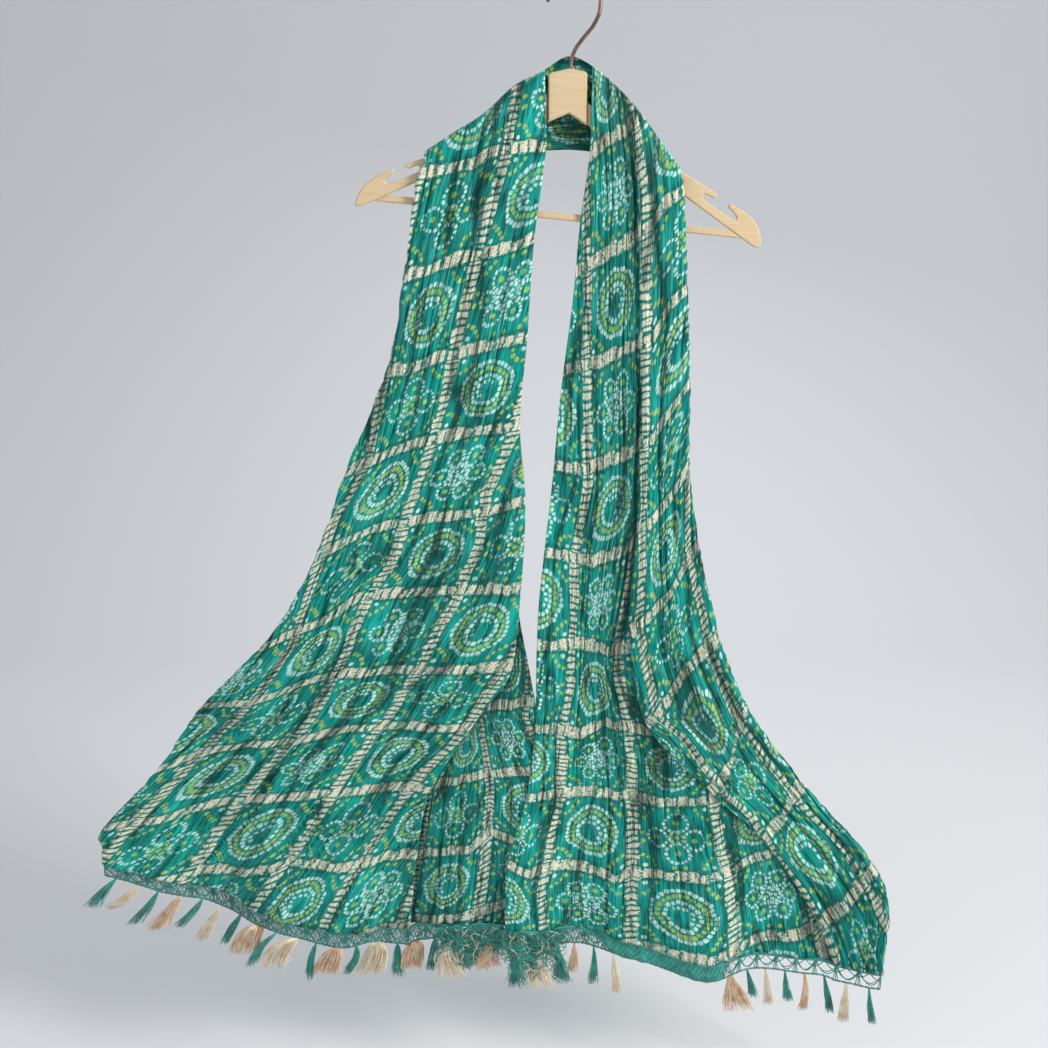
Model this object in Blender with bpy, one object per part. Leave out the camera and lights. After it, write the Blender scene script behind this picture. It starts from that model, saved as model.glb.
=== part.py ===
"""A dupatta stole draped round a clothes hanger, modelled at its real size.

The stole is one long strip of crushed silk. It passes behind the hanger's neck and its two ends
fall in front of the arms. Each fall is a cloth wall with one knife fold that runs its whole
length, many lengthwise pleats, and a flared hem with a net trim and tassels. The hanger carries
the cloth and hangs by its hook. Lengths are in metres, +Z is up, and the cloth faces -Y. The
origin is the inner top of the hook, where a rail or nail holds it.
"""

from collections import namedtuple
from math import cos, pi, radians, sin

import bmesh
import bpy
import numpy as np
from mathutils import Vector

MM = 0.001
SEAM_GAP = 0.3 * MM

# Hanger
BOARD_THICKNESS = 8.0 * MM
BOARD_EDGE_ROUND = 1.2 * MM
BLOCK_THICKNESS = 13.0 * MM
CROSSBAR_HEIGHT = 7.7 * MM
CROSSBAR_THICKNESS = 8.0 * MM
CROSSBAR_LEFT_Z = -228.0 * MM
CROSSBAR_SLOPE = -0.0993
HOOK_WIRE = 4.0 * MM
HOOK_RADIUS = 27.0 * MM

# Cloth
CLOTH_WALL = 1.2 * MM
LAYER_STEP = 2.1 * MM
FRONT_LAYER_Y = -10.3 * MM
BACK_LAYER_Y = 10.3 * MM
RIDGE_ROUND = 10.3 * MM
BEHIND_BLOCK_Y = 6.3 * MM
NECK_HALF_WIDTH = 24.0 * MM
NECK_MIDDLE_X = -6.0 * MM
NECK_BLEND = 45.0 * MM
NECK_FOLD_DEPTH = 1.5 * MM
WAVE_START_Z = -0.50
WAVE_FULL_Z = -1.12
BROAD_WAVE = 19.0 * MM
BROAD_WAVE_LENGTH = 0.235
SMALL_WAVE = 6.0 * MM
SMALL_WAVE_LENGTH = 0.108
PLEAT_DEPTH_SHOULDER = 1.9 * MM
PLEAT_DEPTH_HEM = 4.4 * MM
BACK_PLEAT_DEPTH = 2.2 * MM
CROSSBAR_CLEAR_Z = -0.27
PLEAT_OPENING_Z = -0.60

# Trim
TASSEL_PITCH = 23.5 * MM
TRIM_WALL = 1.0 * MM
TAPE_HEIGHT = 4.0 * MM
NET_HEIGHT = 14.0 * MM
RAIL_HEIGHT = 4.5 * MM
LOCK_LENGTH = 50.0 * MM

# Cuts across a fall, from the shoulder ridge to the hem, in millimetres. Each gives the place of
# the outer edge, the middle of the front layer, the knife fold, the line where the layer behind
# turns out again, and the inner edge.
Cut = namedtuple("Cut", "outer_x outer_z mid_x mid_z fold_x fold_z tuck_x inner_x inner_z")

LEFT_CUTS = (
    Cut(-155, -177, -95, -138, -31, -97, -70, -35, -99),
    Cut(-163, -201, -95, -180, -29, -168, -70, -34, -170),
    Cut(-180, -308, -108, -290, -42, -269, -90, -47, -272),
    Cut(-200, -403, -127, -384, -49, -370, -100, -55, -373),
    Cut(-247, -514, -150, -478, -57, -465, -110, -63, -468),
    Cut(-283, -608, -172, -574, -51, -552, -110, -58, -556),
    Cut(-334, -700, -195, -658, -56, -652, -112, -60, -660),
    Cut(-425, -797, -255, -756, -68, -752, -118, -44, -758),
    Cut(-478, -870, -296, -833, -104, -806, -136, -38, -806),
    Cut(-546, -944, -368, -908, -161, -899, -178, -44, -892),
    Cut(-550, -967, -368, -980, -180, -985, -190, -46, -985),
    Cut(-550, -989, -367, -1057, -193, -1096, -201, -44, -1072),
)
RIGHT_CUTS = (
    Cut(112, -194, 92, -167, 66, -134, 76, 19, -92),
    Cut(115, -207, 92, -181, 64, -153, 76, 18, -170),
    Cut(118, -236, 97, -250, 71, -264, 86, 8, -250),
    Cut(124, -326, 100, -350, 74, -374, 92, 1, -330),
    Cut(129, -425, 104, -456, 77, -487, 97, -12, -438),
    Cut(132, -517, 106, -552, 76, -584, 97, -20, -530),
    Cut(147, -612, 111, -656, 70, -703, 96, -35, -680),
    Cut(178, -729, 138, -770, 92, -818, 116, -39, -818),
    Cut(216, -810, 194, -853, 168, -898, 186, -48, -902),
    Cut(283, -900, 262, -935, 240, -975, 253, -70, -985),
    Cut(374, -1010, 336, -1040, 300, -1066, 311, -74, -1035),
    Cut(380, -1128, 356, -1132, 330, -1135, 338, -74, -1074),
)

# A fall: which way its fold faces, its pleats in front and behind, how far its inner layer stands
# off below the hanger, and how much its hem sags between the fold and the inner edge.
Fall = namedtuple("Fall", "cuts facing front_pleats back_pleats stand_off hem_sag")
LEFT_FALL = Fall(LEFT_CUTS, 1, 10, 4, 3.4 * MM, -6.0 * MM)
RIGHT_FALL = Fall(RIGHT_CUTS, -1, 6, 9, 0.0, 12.0 * MM)

# Top edge of the cloth where it rolls over the hanger, and the lower edge behind, in millimetres.
Ridge = namedtuple("Ridge", "x top bottom")
RIDGE = (
    Ridge(-155, -177, -203),
    Ridge(-128, -160, -192),
    Ridge(-92, -138, -182),
    Ridge(-61, -111, -178),
    Ridge(-31, -96, -176),
    Ridge(-4, -82, -175),
    Ridge(20, -92, -177),
    Ridge(45, -112, -181),
    Ridge(66, -134, -187),
    Ridge(92, -167, -203),
    Ridge(112, -194, -219),
)

# Slant of the tassels along a hem: the sideways share of a lock's length at each place.
LEFT_SLANT = ((-550, -0.62), (-350, -0.45), (-190, -0.15), (-70, 0.05))
RIGHT_SLANT = ((-74, -0.20), (60, 0.10), (200, 0.18), (380, 0.05))
FOLDED_UP = (70.0 * MM, 190.0 * MM)


def material(name, colour, roughness, metallic=0.0):
    """A Principled material with one colour."""
    made = bpy.data.materials.new(name)
    made.use_nodes = True
    shader = made.node_tree.nodes["Principled BSDF"]
    shader.inputs["Base Color"].default_value = (*colour, 1.0)
    shader.inputs["Roughness"].default_value = roughness
    shader.inputs["Metallic"].default_value = metallic
    return made


def add_object(name, mesh, finish):
    """Link a mesh as a named object with its material and smooth shading."""
    mesh.materials.append(finish)
    mesh.shade_smooth()
    mesh.set_sharp_from_angle(angle=radians(50))
    made = bpy.data.objects.new(name, mesh)
    bpy.context.collection.objects.link(made)
    return made


def eased(t):
    """Smooth step from 0 to 1."""
    t = np.clip(t, 0.0, 1.0)
    return t * t * (3.0 - 2.0 * t)


def curve_through(knots, values, at):
    """A smooth curve through the values at the knots, read at the places asked for."""
    knots = np.asarray(knots, float)
    values = np.asarray(values, float)
    slopes = np.gradient(values, knots)
    i = np.clip(np.searchsorted(knots, at, side="right") - 1, 0, len(knots) - 2)
    span = knots[i + 1] - knots[i]
    t = (at - knots[i]) / span
    return (
        (1 + 2 * t) * (1 - t) ** 2 * values[i]
        + t * (1 - t) ** 2 * span * slopes[i]
        + t * t * (3 - 2 * t) * values[i + 1]
        + t * t * (t - 1) * span * slopes[i + 1]
    )


def hanging_wave(x, z):
    """Depth of the broad waves that open towards the hem."""
    share = np.clip((WAVE_START_Z - z) / (WAVE_START_Z - WAVE_FULL_Z), 0.0, 1.0) ** 1.5
    broad = BROAD_WAVE * np.sin(2 * pi * x / BROAD_WAVE_LENGTH + 0.6)
    small = SMALL_WAVE * np.sin(2 * pi * x / SMALL_WAVE_LENGTH + 1.0)
    return share * (broad + small)


def ridge_centre_y(x):
    """Middle of the roll over the hanger: on the arms' plane, and behind the block at the neck."""
    off = np.abs(x - NECK_MIDDLE_X) - NECK_HALF_WIDTH
    return BEHIND_BLOCK_Y * (1.0 - eased(off / NECK_BLEND))


def pleat_heights(count):
    """Heights of the pleats at three columns for each, uneven along the row, and 0 at the end."""
    k = np.arange(count)
    tops = 0.62 + 0.28 * np.sin(2.4 * k + 0.7) + 0.10 * np.sin(5.1 * k)
    return np.append(np.outer(tops, (0.0, 1.0, 0.5)).ravel(), 0.0)


def fall_points(fall):
    """The middle surface of a fall's cloth: rows from the ridge to the hem, columns round its fold.

    Each row runs from the outer edge along the front layer, round the knife fold, back under it,
    round the tuck, and along the layer behind to the inner edge.
    """
    table = np.array(fall.cuts, float) * MM
    cut_at = np.arange(len(fall.cuts))
    roll = radians(0.9), radians(45), radians(88)
    down = np.array((0.72, 1, 1.5, 2, 3, 4, 5, 6, 7, 7.6, 8.3, 9, 10, len(fall.cuts) - 1))
    front_q = np.linspace(0.0, 1.0, 3 * fall.front_pleats + 1)
    back_q = np.linspace(0.0, 1.0, 3 * fall.back_pleats + 1)
    front_high, back_high = pleat_heights(fall.front_pleats), pleat_heights(fall.back_pleats)
    turns = np.radians((-45.0, 0.0, 45.0))
    rows = []
    for step in (*roll, *down):
        rolling = len(rows) < len(roll)
        place = 0.0 if rolling else step
        read = {n: curve_through(cut_at, table[:, i], place) for i, n in enumerate(Cut._fields)}
        below = eased((CROSSBAR_CLEAR_Z - read["fold_z"]) / 0.2)
        behind_gap = LAYER_STEP + fall.stand_off * below
        near, far = front_q * (2 * front_q - 1), (1 - front_q) * (1 - 2 * front_q)
        middle = 4 * front_q * (1 - front_q)
        front_x = far * read["outer_x"] + middle * read["mid_x"] + near * read["fold_x"]
        front_z = far * read["outer_z"] + middle * read["mid_z"] + near * read["fold_z"]
        opened = eased((PLEAT_OPENING_Z - read["fold_z"]) / 0.4)
        pleat_depth = PLEAT_DEPTH_SHOULDER + (PLEAT_DEPTH_HEM - PLEAT_DEPTH_SHOULDER) * opened
        front_y = FRONT_LAYER_Y - front_high * pleat_depth * (0.4 + 0.6 * below)
        slope = (read["mid_z"] - read["fold_z"]) / (read["mid_x"] - read["fold_x"])
        half = LAYER_STEP / 2
        turn_x = read["fold_x"] + fall.facing * half * np.cos(turns)
        turn_y = FRONT_LAYER_Y + half * (1 + np.sin(turns))
        under_x = np.linspace(read["fold_x"], read["tuck_x"], 3)
        tuck_z = read["fold_z"] + slope * (read["tuck_x"] - read["fold_x"])
        under_z = np.linspace(read["fold_z"], tuck_z, 3)
        half_behind = behind_gap / 2
        tuck_turn_x = read["tuck_x"] - fall.facing * half_behind * np.cos(turns)
        tuck_turn_y = FRONT_LAYER_Y + LAYER_STEP + half_behind * (1 + np.sin(turns))
        back_x = read["tuck_x"] + (read["inner_x"] - read["tuck_x"]) * back_q
        back_z = tuck_z + (read["inner_z"] - tuck_z) * back_q
        at_hem = eased((place - cut_at[-1] + 2) / 2)
        back_z = back_z - fall.hem_sag * at_hem * np.sin(pi * back_q)
        back_y = FRONT_LAYER_Y + LAYER_STEP + behind_gap + back_high * below * BACK_PLEAT_DEPTH
        x = np.concatenate((front_x, turn_x, under_x, tuck_turn_x, back_x))
        z = np.concatenate(
            (front_z, np.full(3, read["fold_z"]), under_z, np.full(3, tuck_z), back_z)
        )
        under_y = np.full(3, FRONT_LAYER_Y + LAYER_STEP)
        flat_y = np.concatenate((front_y, turn_y, under_y, tuck_turn_y, back_y))
        if rolling:
            depth = flat_y - FRONT_LAYER_Y
            centre = ridge_centre_y(x)
            y = centre + (flat_y - centre) * sin(step)
            z = z - depth - (RIDGE_ROUND - depth) * (1 - cos(step))
        else:
            y = flat_y + hanging_wave(x, z)
        rows.append(np.column_stack((x, y, z)))
    return np.array(rows)


def back_points():
    """The middle surface of the stretch behind the neck, from the ridge down to its lower edge."""
    table = np.array(RIDGE, float) * MM
    x = np.linspace(table[0, 0], table[-1, 0], 25)
    top = curve_through(table[:, 0], table[:, 1], x)
    bottom = curve_through(table[:, 0], table[:, 2], x)
    centre = ridge_centre_y(x)
    rows = []
    for angle in (radians(0.9), radians(45), radians(88)):
        y = centre + (BACK_LAYER_Y - centre) * sin(angle)
        z = top - RIDGE_ROUND * (1 - cos(angle))
        rows.append(np.column_stack((x, y, z)))
    for share in (0.25, 0.45, 0.65, 0.85, 1.0):
        z = top - RIDGE_ROUND + (bottom - top + RIDGE_ROUND) * share
        folds = 1 + np.sin(9.0 * share + 14.0 * x)
        y = BACK_LAYER_Y + NECK_FOLD_DEPTH * folds * np.sin(pi * share * 0.9)
        rows.append(np.column_stack((x, y, z)))
    return np.array(rows)


def surface_normals(points):
    """Unit normals of a grid of points."""
    along = np.gradient(points, axis=0)
    across = np.gradient(points, axis=1)
    normals = np.cross(along, across)
    return normals / np.linalg.norm(normals, axis=2, keepdims=True)


class ClothWall:
    """A closed wall round a grid of points, with cells that can be cut through."""

    def __init__(self, points, thickness, keep=None):
        self.rows, self.columns = points.shape[:2]
        self.keep = np.ones((self.rows - 1, self.columns - 1), bool) if keep is None else keep
        normals = surface_normals(points)
        sides = points + normals * thickness / 2, points - normals * thickness / 2
        self.mesh = bmesh.new()
        self.sides = [[[self.mesh.verts.new(p) for p in row] for row in side] for side in sides]
        self.rims = {}
        self.fill()

    def fill(self):
        """Add both faces of each kept cell, and a rim where a cell has no neighbour."""
        front, back = self.sides
        for r in range(self.rows - 1):
            for c in range(self.columns - 1):
                if not self.keep[r, c]:
                    continue
                ring = ((r, c), (r + 1, c), (r + 1, c + 1), (r, c + 1))
                self.mesh.faces.new([front[i][j] for i, j in ring])
                self.mesh.faces.new([back[i][j] for i, j in reversed(ring)])
                neighbours = ((r, c - 1), (r + 1, c), (r, c + 1), (r - 1, c))
                for k, cell in enumerate(neighbours):
                    if self.is_kept(*cell):
                        continue
                    a, b = ring[k], ring[(k + 1) % 4]
                    corners = [side[i][j] for side, (i, j) in
                               ((front, a), (back, a), (back, b), (front, b))]
                    self.rims[(r, c, k)] = self.mesh.faces.new(corners)

    def is_kept(self, r, c):
        """Whether a cell is inside the grid and not cut away."""
        return 0 <= r < self.rows - 1 and 0 <= c < self.columns - 1 and self.keep[r, c]

    def grow_lock(self, column, length, slant, sway):
        """Draw a tassel's lock out of the lower rim of one column: it swells, then tapers."""
        rim = self.rims.pop((self.rows - 2, column, 1))
        root = above = list(rim.verts)
        self.mesh.faces.remove(rim)
        middle = sum((v.co for v in root), Vector()) / 4
        for share, size in ((0.45, 1.15), (1.0, 0.45)):
            drop = Vector((slant * length * share, sway * share, -length * share))
            ring = [self.mesh.verts.new(middle + (v.co - middle) * size + drop) for v in root]
            for k in range(4):
                n = (k + 1) % 4
                self.mesh.faces.new((above[k], above[n], ring[n], ring[k]))
            above = ring
        self.mesh.faces.new(above)

    def finish(self, name, finish):
        """Turn the faces outwards and make the object."""
        loose = [v for v in self.mesh.verts if not v.link_faces]
        bmesh.ops.delete(self.mesh, geom=loose, context="VERTS")
        bmesh.ops.triangulate(self.mesh, faces=self.mesh.faces)
        bmesh.ops.recalc_face_normals(self.mesh, faces=self.mesh.faces)
        mesh = bpy.data.meshes.new(name)
        self.mesh.to_mesh(mesh)
        self.mesh.free()
        return add_object(name, mesh, finish)


def hem_line(fall, x):
    """The hem's depth and height at places along it, on the layer that shows there."""
    cut = fall.cuts[-1]
    fold_x = cut.fold_x * MM
    hem = fall_points(fall)[-1]
    front_count = 3 * fall.front_pleats + 1
    back_count = 3 * fall.back_pleats + 1
    front, back = hem[:front_count], hem[-back_count:]
    front_z = curve_on(front, x, 2)
    back_z = curve_on(back, x, 2)
    past_fold = (x - fold_x) * fall.facing
    behind = eased(past_fold / (15.0 * MM))
    z = np.where(past_fold < 0, front_z, back_z)
    z = np.where(np.abs(past_fold) < 16.0 * MM, np.minimum(z, cut.fold_z * MM), z)
    depth = (2 * LAYER_STEP + fall.stand_off) * behind
    return FRONT_LAYER_Y + depth + hanging_wave(x, z), z


def curve_on(line, x, column):
    """Read one coordinate of a line of points at places along X."""
    order = np.argsort(line[:, 0])
    return np.interp(x, line[order, 0], line[order, column])


def trim(name, fall, start, stop, slants, folded_up, finish):
    """Net trim below a hem: a tape, a row of open loops, a rail, and two locks for each tassel."""
    count = int(round((stop - start) / TASSEL_PITCH))
    pitch = (stop - start) / count
    within = np.array((0.0, 0.14, 0.42, 0.62))
    x = start + pitch * np.append((np.arange(count)[:, None] + within).ravel(), count + 0.14)
    y, z = hem_line(fall, np.clip(x, start, stop))
    drops = np.cumsum((SEAM_GAP + 0.1 * MM, TAPE_HEIGHT, NET_HEIGHT, RAIL_HEIGHT))
    points = np.array([np.column_stack((x, y, z - drop)) for drop in drops])
    keep = np.ones((3, len(x) - 1), bool)
    keep[1] = np.arange(len(x) - 1) % 4 == 0
    wall = ClothWall(points, TRIM_WALL, keep)
    places, shares = zip(*slants)
    for column in range(len(x) - 1):
        hidden = folded_up is not None and folded_up[0] < x[column] < folded_up[1]
        if column % 4 not in (1, 3) or hidden:
            continue
        uneven = 0.9 + 0.12 * sin(3.7 * column) + 0.06 * sin(9.1 * column)
        slant = np.interp(x[column], np.array(places) * MM, shares) + 0.08 * sin(2.3 * column)
        wall.grow_lock(column, LOCK_LENGTH * uneven, slant, 4.0 * MM * sin(1.9 * column))
    return wall.finish(name, finish)


def plate(name, outline, thickness, edge_round, finish):
    """A flat piece cut to an outline in the XZ plane, centred on Y = 0, with rounded edges."""
    mesh = bpy.data.meshes.new(name)
    build = bmesh.new()
    face = build.faces.new([build.verts.new((x, -thickness / 2, z)) for x, z in outline])
    grown = bmesh.ops.extrude_face_region(build, geom=[face])
    moved = [g for g in grown["geom"] if isinstance(g, bmesh.types.BMVert)]
    bmesh.ops.translate(build, verts=moved, vec=(0.0, thickness, 0.0))
    bmesh.ops.recalc_face_normals(build, faces=build.faces)
    outline_edges = [e for e in build.edges if abs(e.verts[0].co.y - e.verts[1].co.y) < 1e-6]
    bmesh.ops.bevel(
        build, geom=outline_edges, offset=edge_round, segments=1, profile=0.5, affect="EDGES",
        clamp_overlap=True,
    )
    bmesh.ops.triangulate(build, faces=build.faces)
    bmesh.ops.recalc_face_normals(build, faces=build.faces)
    build.to_mesh(mesh)
    build.free()
    return add_object(name, mesh, finish)


def arc(centre, radius, start, stop, steps):
    """Points of an arc in the XZ plane, angles in degrees from +X."""
    angles = np.radians(np.linspace(start, stop, steps))
    return [(centre[0] + radius * cos(a), centre[1] + radius * sin(a)) for a in angles]


def left_arm(wood):
    """The left arm: a tapered bar with a strap notch and a rounded tip."""
    points = (
        (-27, -147), (-27, -119), (-155, -183.5), (-175, -189.4), (-177, -191.7), (-175.3, -194.2),
        (-172, -194.6), (-165, -191.4), (-162, -191.8), (-160.8, -194.2), (-162.7, -197.6),
        (-179, -204.6), (-195.1, -210), (-197.7, -209), (-198.5, -206.7), (-197, -204.5),
        (-190.3, -200.2), (-188.4, -197.6), (-189.4, -195.2), (-192, -195.4), (-201.5, -199.6),
        (-209.4, -203.4), (-214.8, -207.2), (-220.2, -211.8), (-224.3, -216.9), (-227.3, -222.7),
        (-229.2, -227.4), (-229.9, -230.6), (-229, -233), (-226.6, -233.4), (-222, -232),
        (-213.4, -228.6), (-197, -221.73), (-169, -210),
    )
    outline = [(x * MM, z * MM) for x, z in points]
    return plate("hanger_left_arm", outline, BOARD_THICKNESS, BOARD_EDGE_ROUND, wood)


def right_arm(wood):
    """The right arm, with the same notch, tip and taper."""
    points = (
        (14.3, -128), (14.3, -150), (118, -222.5), (182, -267.3), (188, -271.6), (193.6, -275),
        (197.2, -276), (199.8, -275), (201, -271.6), (200.4, -265.2), (198.6, -258.5),
        (195.5, -251.6), (190.7, -245.4), (183.9, -240), (174.4, -234.3), (168.6, -231),
        (166, -231), (164.9, -233), (166.6, -235.8), (172.7, -241.9), (174.2, -244.2),
        (173.3, -246.4), (170.8, -247), (167.8, -245.6), (153.3, -236.2), (139, -227),
        (137, -224.4), (137.2, -221.8), (139.2, -220.5), (142, -221.2), (146.3, -223.8),
        (150.4, -225.2), (152.9, -224), (153.2, -221.4), (151, -219), (132.6, -208.2),
        (111, -196),
    )
    outline = [(x * MM, z * MM) for x, z in points]
    return plate("hanger_right_arm", outline, BOARD_THICKNESS, BOARD_EDGE_ROUND, wood)


def centre_block(wood):
    """The upright block that joins the arms and takes the hook, notched underneath."""
    points = (
        (-26.7, -148), (-26.7, -102), (-24, -99), (-4, -95), (12, -98), (14, -101), (14, -151),
        (-5, -139),
    )
    outline = [(x * MM, z * MM) for x, z in points]
    return plate("hanger_block", outline, BLOCK_THICKNESS, 1.5 * MM, wood)


def crossbar(wood):
    """The trouser bar: it meets the underside of both arms."""
    left_slope, left_x, left_z = 0.419, -169 * MM, -210 * MM
    right_slope, right_x, right_z = -0.70, 118 * MM, -222.5 * MM
    outline = []
    for edge in (1, -1):
        bar_z = CROSSBAR_LEFT_Z + edge * CROSSBAR_HEIGHT / 2
        ends = []
        for slope, x, z in ((left_slope, left_x, left_z), (right_slope, right_x, right_z)):
            below = z - 1.6 * SEAM_GAP
            at = (bar_z - CROSSBAR_SLOPE * left_x - below + slope * x) / (slope - CROSSBAR_SLOPE)
            ends.append((at, bar_z + CROSSBAR_SLOPE * (at - left_x)))
        outline.append(ends)
    top, bottom = outline
    corners = [top[0], top[1], bottom[1], bottom[0]]
    return plate("hanger_crossbar", corners, CROSSBAR_THICKNESS, 1.6 * MM, wood)


def hook(steel):
    """The swivel hook: a round wire that leans out from the block and turns over in an arch."""
    arch_z = -(HOOK_RADIUS - HOOK_WIRE / 2)
    shank = ((-3.0, -94.6), (-2.4, -86), (2, -75), (13, -61), (22.5, -48), (26.6, -36))
    route = [(x * MM, z * MM) for x, z in shank] + arc((0.0, arch_z), HOOK_RADIUS, 0, 192, 17)
    line = bpy.data.curves.new("hanger_hook", "CURVE")
    line.dimensions = "3D"
    line.bevel_depth = HOOK_WIRE / 2
    line.bevel_resolution = 2
    line.use_fill_caps = True
    spline = line.splines.new("POLY")
    spline.points.add(len(route) - 1)
    for point, (x, z) in zip(spline.points, route):
        point.co = (x, 0.0, z, 1.0)
    line.materials.append(steel)
    made = bpy.data.objects.new("hanger_hook", line)
    bpy.context.collection.objects.link(made)
    return made


def main():
    """Clear the scene and build the stole and its hanger."""
    for old in list(bpy.data.objects):
        bpy.data.objects.remove(old, do_unlink=True)
    silk = material("teal_crushed_silk", (0.004, 0.22, 0.19), 0.45)
    net = material("teal_net_and_thread", (0.003, 0.13, 0.12), 0.55)
    wood = material("pale_beech", (0.72, 0.52, 0.28), 0.42)
    steel = material("hook_wire", (0.30, 0.22, 0.18), 0.35, 1.0)
    ClothWall(fall_points(LEFT_FALL), CLOTH_WALL).finish("left_fall", silk)
    ClothWall(fall_points(RIGHT_FALL), CLOTH_WALL).finish("right_fall", silk)
    ClothWall(back_points(), CLOTH_WALL).finish("back_neck", silk)
    trim("left_trim", LEFT_FALL, -0.549, -0.078, LEFT_SLANT, None, net)
    trim("right_trim", RIGHT_FALL, -0.072, 0.378, RIGHT_SLANT, FOLDED_UP, net)
    left_arm(wood)
    right_arm(wood)
    centre_block(wood)
    crossbar(wood)
    hook(steel)


main()
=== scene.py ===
"""Dresses the dupatta stole and the clothes hanger that holds it.

The stole is a strip of crush-pleated silk with a bandhani print: cream bars divide it into squares,
and small resist dots draw rings and flowers in them. Its ends have a knotted net trim with tassels.
"""

from __future__ import annotations

import logging
import math
from dataclasses import dataclass
from enum import Enum

import bpy
import numpy as np
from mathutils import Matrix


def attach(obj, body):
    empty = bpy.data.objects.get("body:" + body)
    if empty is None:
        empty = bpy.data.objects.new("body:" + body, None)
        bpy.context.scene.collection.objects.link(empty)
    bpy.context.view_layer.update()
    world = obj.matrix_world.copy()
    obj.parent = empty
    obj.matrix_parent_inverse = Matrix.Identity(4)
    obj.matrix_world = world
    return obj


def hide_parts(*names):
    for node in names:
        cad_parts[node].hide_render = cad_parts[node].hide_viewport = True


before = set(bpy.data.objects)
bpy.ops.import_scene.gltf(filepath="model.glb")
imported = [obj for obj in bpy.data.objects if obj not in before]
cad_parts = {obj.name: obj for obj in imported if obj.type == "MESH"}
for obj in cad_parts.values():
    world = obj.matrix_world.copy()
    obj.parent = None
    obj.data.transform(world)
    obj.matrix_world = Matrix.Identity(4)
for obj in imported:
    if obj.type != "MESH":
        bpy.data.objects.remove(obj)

LOG = logging.getLogger("stole")
MM = 0.001
BODY = "root"
Socket = bpy.types.NodeSocket
Material = bpy.types.Material
Piece = bpy.types.Object
PRINT_CELL = 0.105
"""Side of a printed square on the cloth, in metres."""
CAMERA = (-0.0514, -1.419, -0.2264)
CAMERA_TILT = math.radians(14.0)
"""Where the photo was taken from, in metres, and how far the camera looks down."""
COLOUR_MIX = {"out": 2, "data_type": "RGBA"}
NUMBER_MIX = {"out": 0, "data_type": "FLOAT"}
"""Settings of a Mix node for colours (its inputs 6 and 7) and for numbers (its inputs 2 and 3)."""


def linear(code: str) -> tuple[float, float, float, float]:
    """Turn an sRGB hex colour into the linear colour that shaders take.

    Args:
        code: Six hex digits.

    Returns:
        Linear red, green, blue and an alpha of 1.
    """
    channels = [int(code[i : i + 2], 16) / 255 for i in (0, 2, 4)]
    bent = [c / 12.92 if c <= 0.04045 else ((c + 0.055) / 1.055) ** 2.4 for c in channels]
    return (*bent, 1.0)


def eased(t: np.ndarray | float) -> np.ndarray | float:
    """Return the smooth step 3t^2 - 2t^3 with t held between 0 and 1."""
    t = np.clip(t, 0.0, 1.0)
    return t * t * (3.0 - 2.0 * t)


def curve_through(knots: np.ndarray, values: np.ndarray, at: np.ndarray | float) -> np.ndarray:
    """Read a smooth curve through values at knots: cubic pieces whose slopes are the mean ones.

    Args:
        knots: Places of the values, rising.
        values: The curve's values there.
        at: Places to read.

    Returns:
        The curve's values at those places.
    """
    slopes = np.gradient(values, knots)
    i = np.clip(np.searchsorted(knots, at, side="right") - 1, 0, len(knots) - 2)
    span = knots[i + 1] - knots[i]
    t = (at - knots[i]) / span
    return (
        (1 + 2 * t) * (1 - t) ** 2 * values[i]
        + t * (1 - t) ** 2 * span * slopes[i]
        + t * t * (3 - 2 * t) * values[i + 1]
        + t * t * (t - 1) * span * slopes[i + 1]
    )


def hashed(i: np.ndarray, j: np.ndarray, seed: float) -> np.ndarray:
    """Return a repeatable scatter of numbers from 0 to 1, one for each pair of whole numbers."""
    mixed = np.sin(i * 127.1 + j * 311.7 + seed * 74.7) * 43758.5453
    return mixed - np.floor(mixed)


def value_noise(u: np.ndarray, v: np.ndarray, seed: float = 0.0) -> np.ndarray:
    """Return smooth noise: hashed corner values blended across each unit square.

    Args:
        u: First coordinate of each place.
        v: Second coordinate.
        seed: Picks another noise.

    Returns:
        Numbers from 0 to 1.
    """
    iu, iv = np.floor(u), np.floor(v)
    fu, fv = eased(u - iu), eased(v - iv)
    low = hashed(iu, iv, seed) * (1 - fu) + hashed(iu + 1, iv, seed) * fu
    high = hashed(iu, iv + 1, seed) * (1 - fu) + hashed(iu + 1, iv + 1, seed) * fu
    return low * (1 - fv) + high * fv


def grid_faces(rows: int, columns: int, wrap: bool = False) -> np.ndarray:
    """Return the quads of a grid of points, row by row.

    Args:
        rows: Rows of points.
        columns: Points in a row.
        wrap: Whether each row closes on itself.

    Returns:
        An array of four point numbers for each quad.
    """
    across = np.arange(columns if wrap else columns - 1)
    down = np.arange(rows - 1)[:, None] * columns
    near, far = down + across, down + (across + 1) % columns
    return np.stack((near, near + columns, far + columns, far), axis=-1).reshape(-1, 4)


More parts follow.
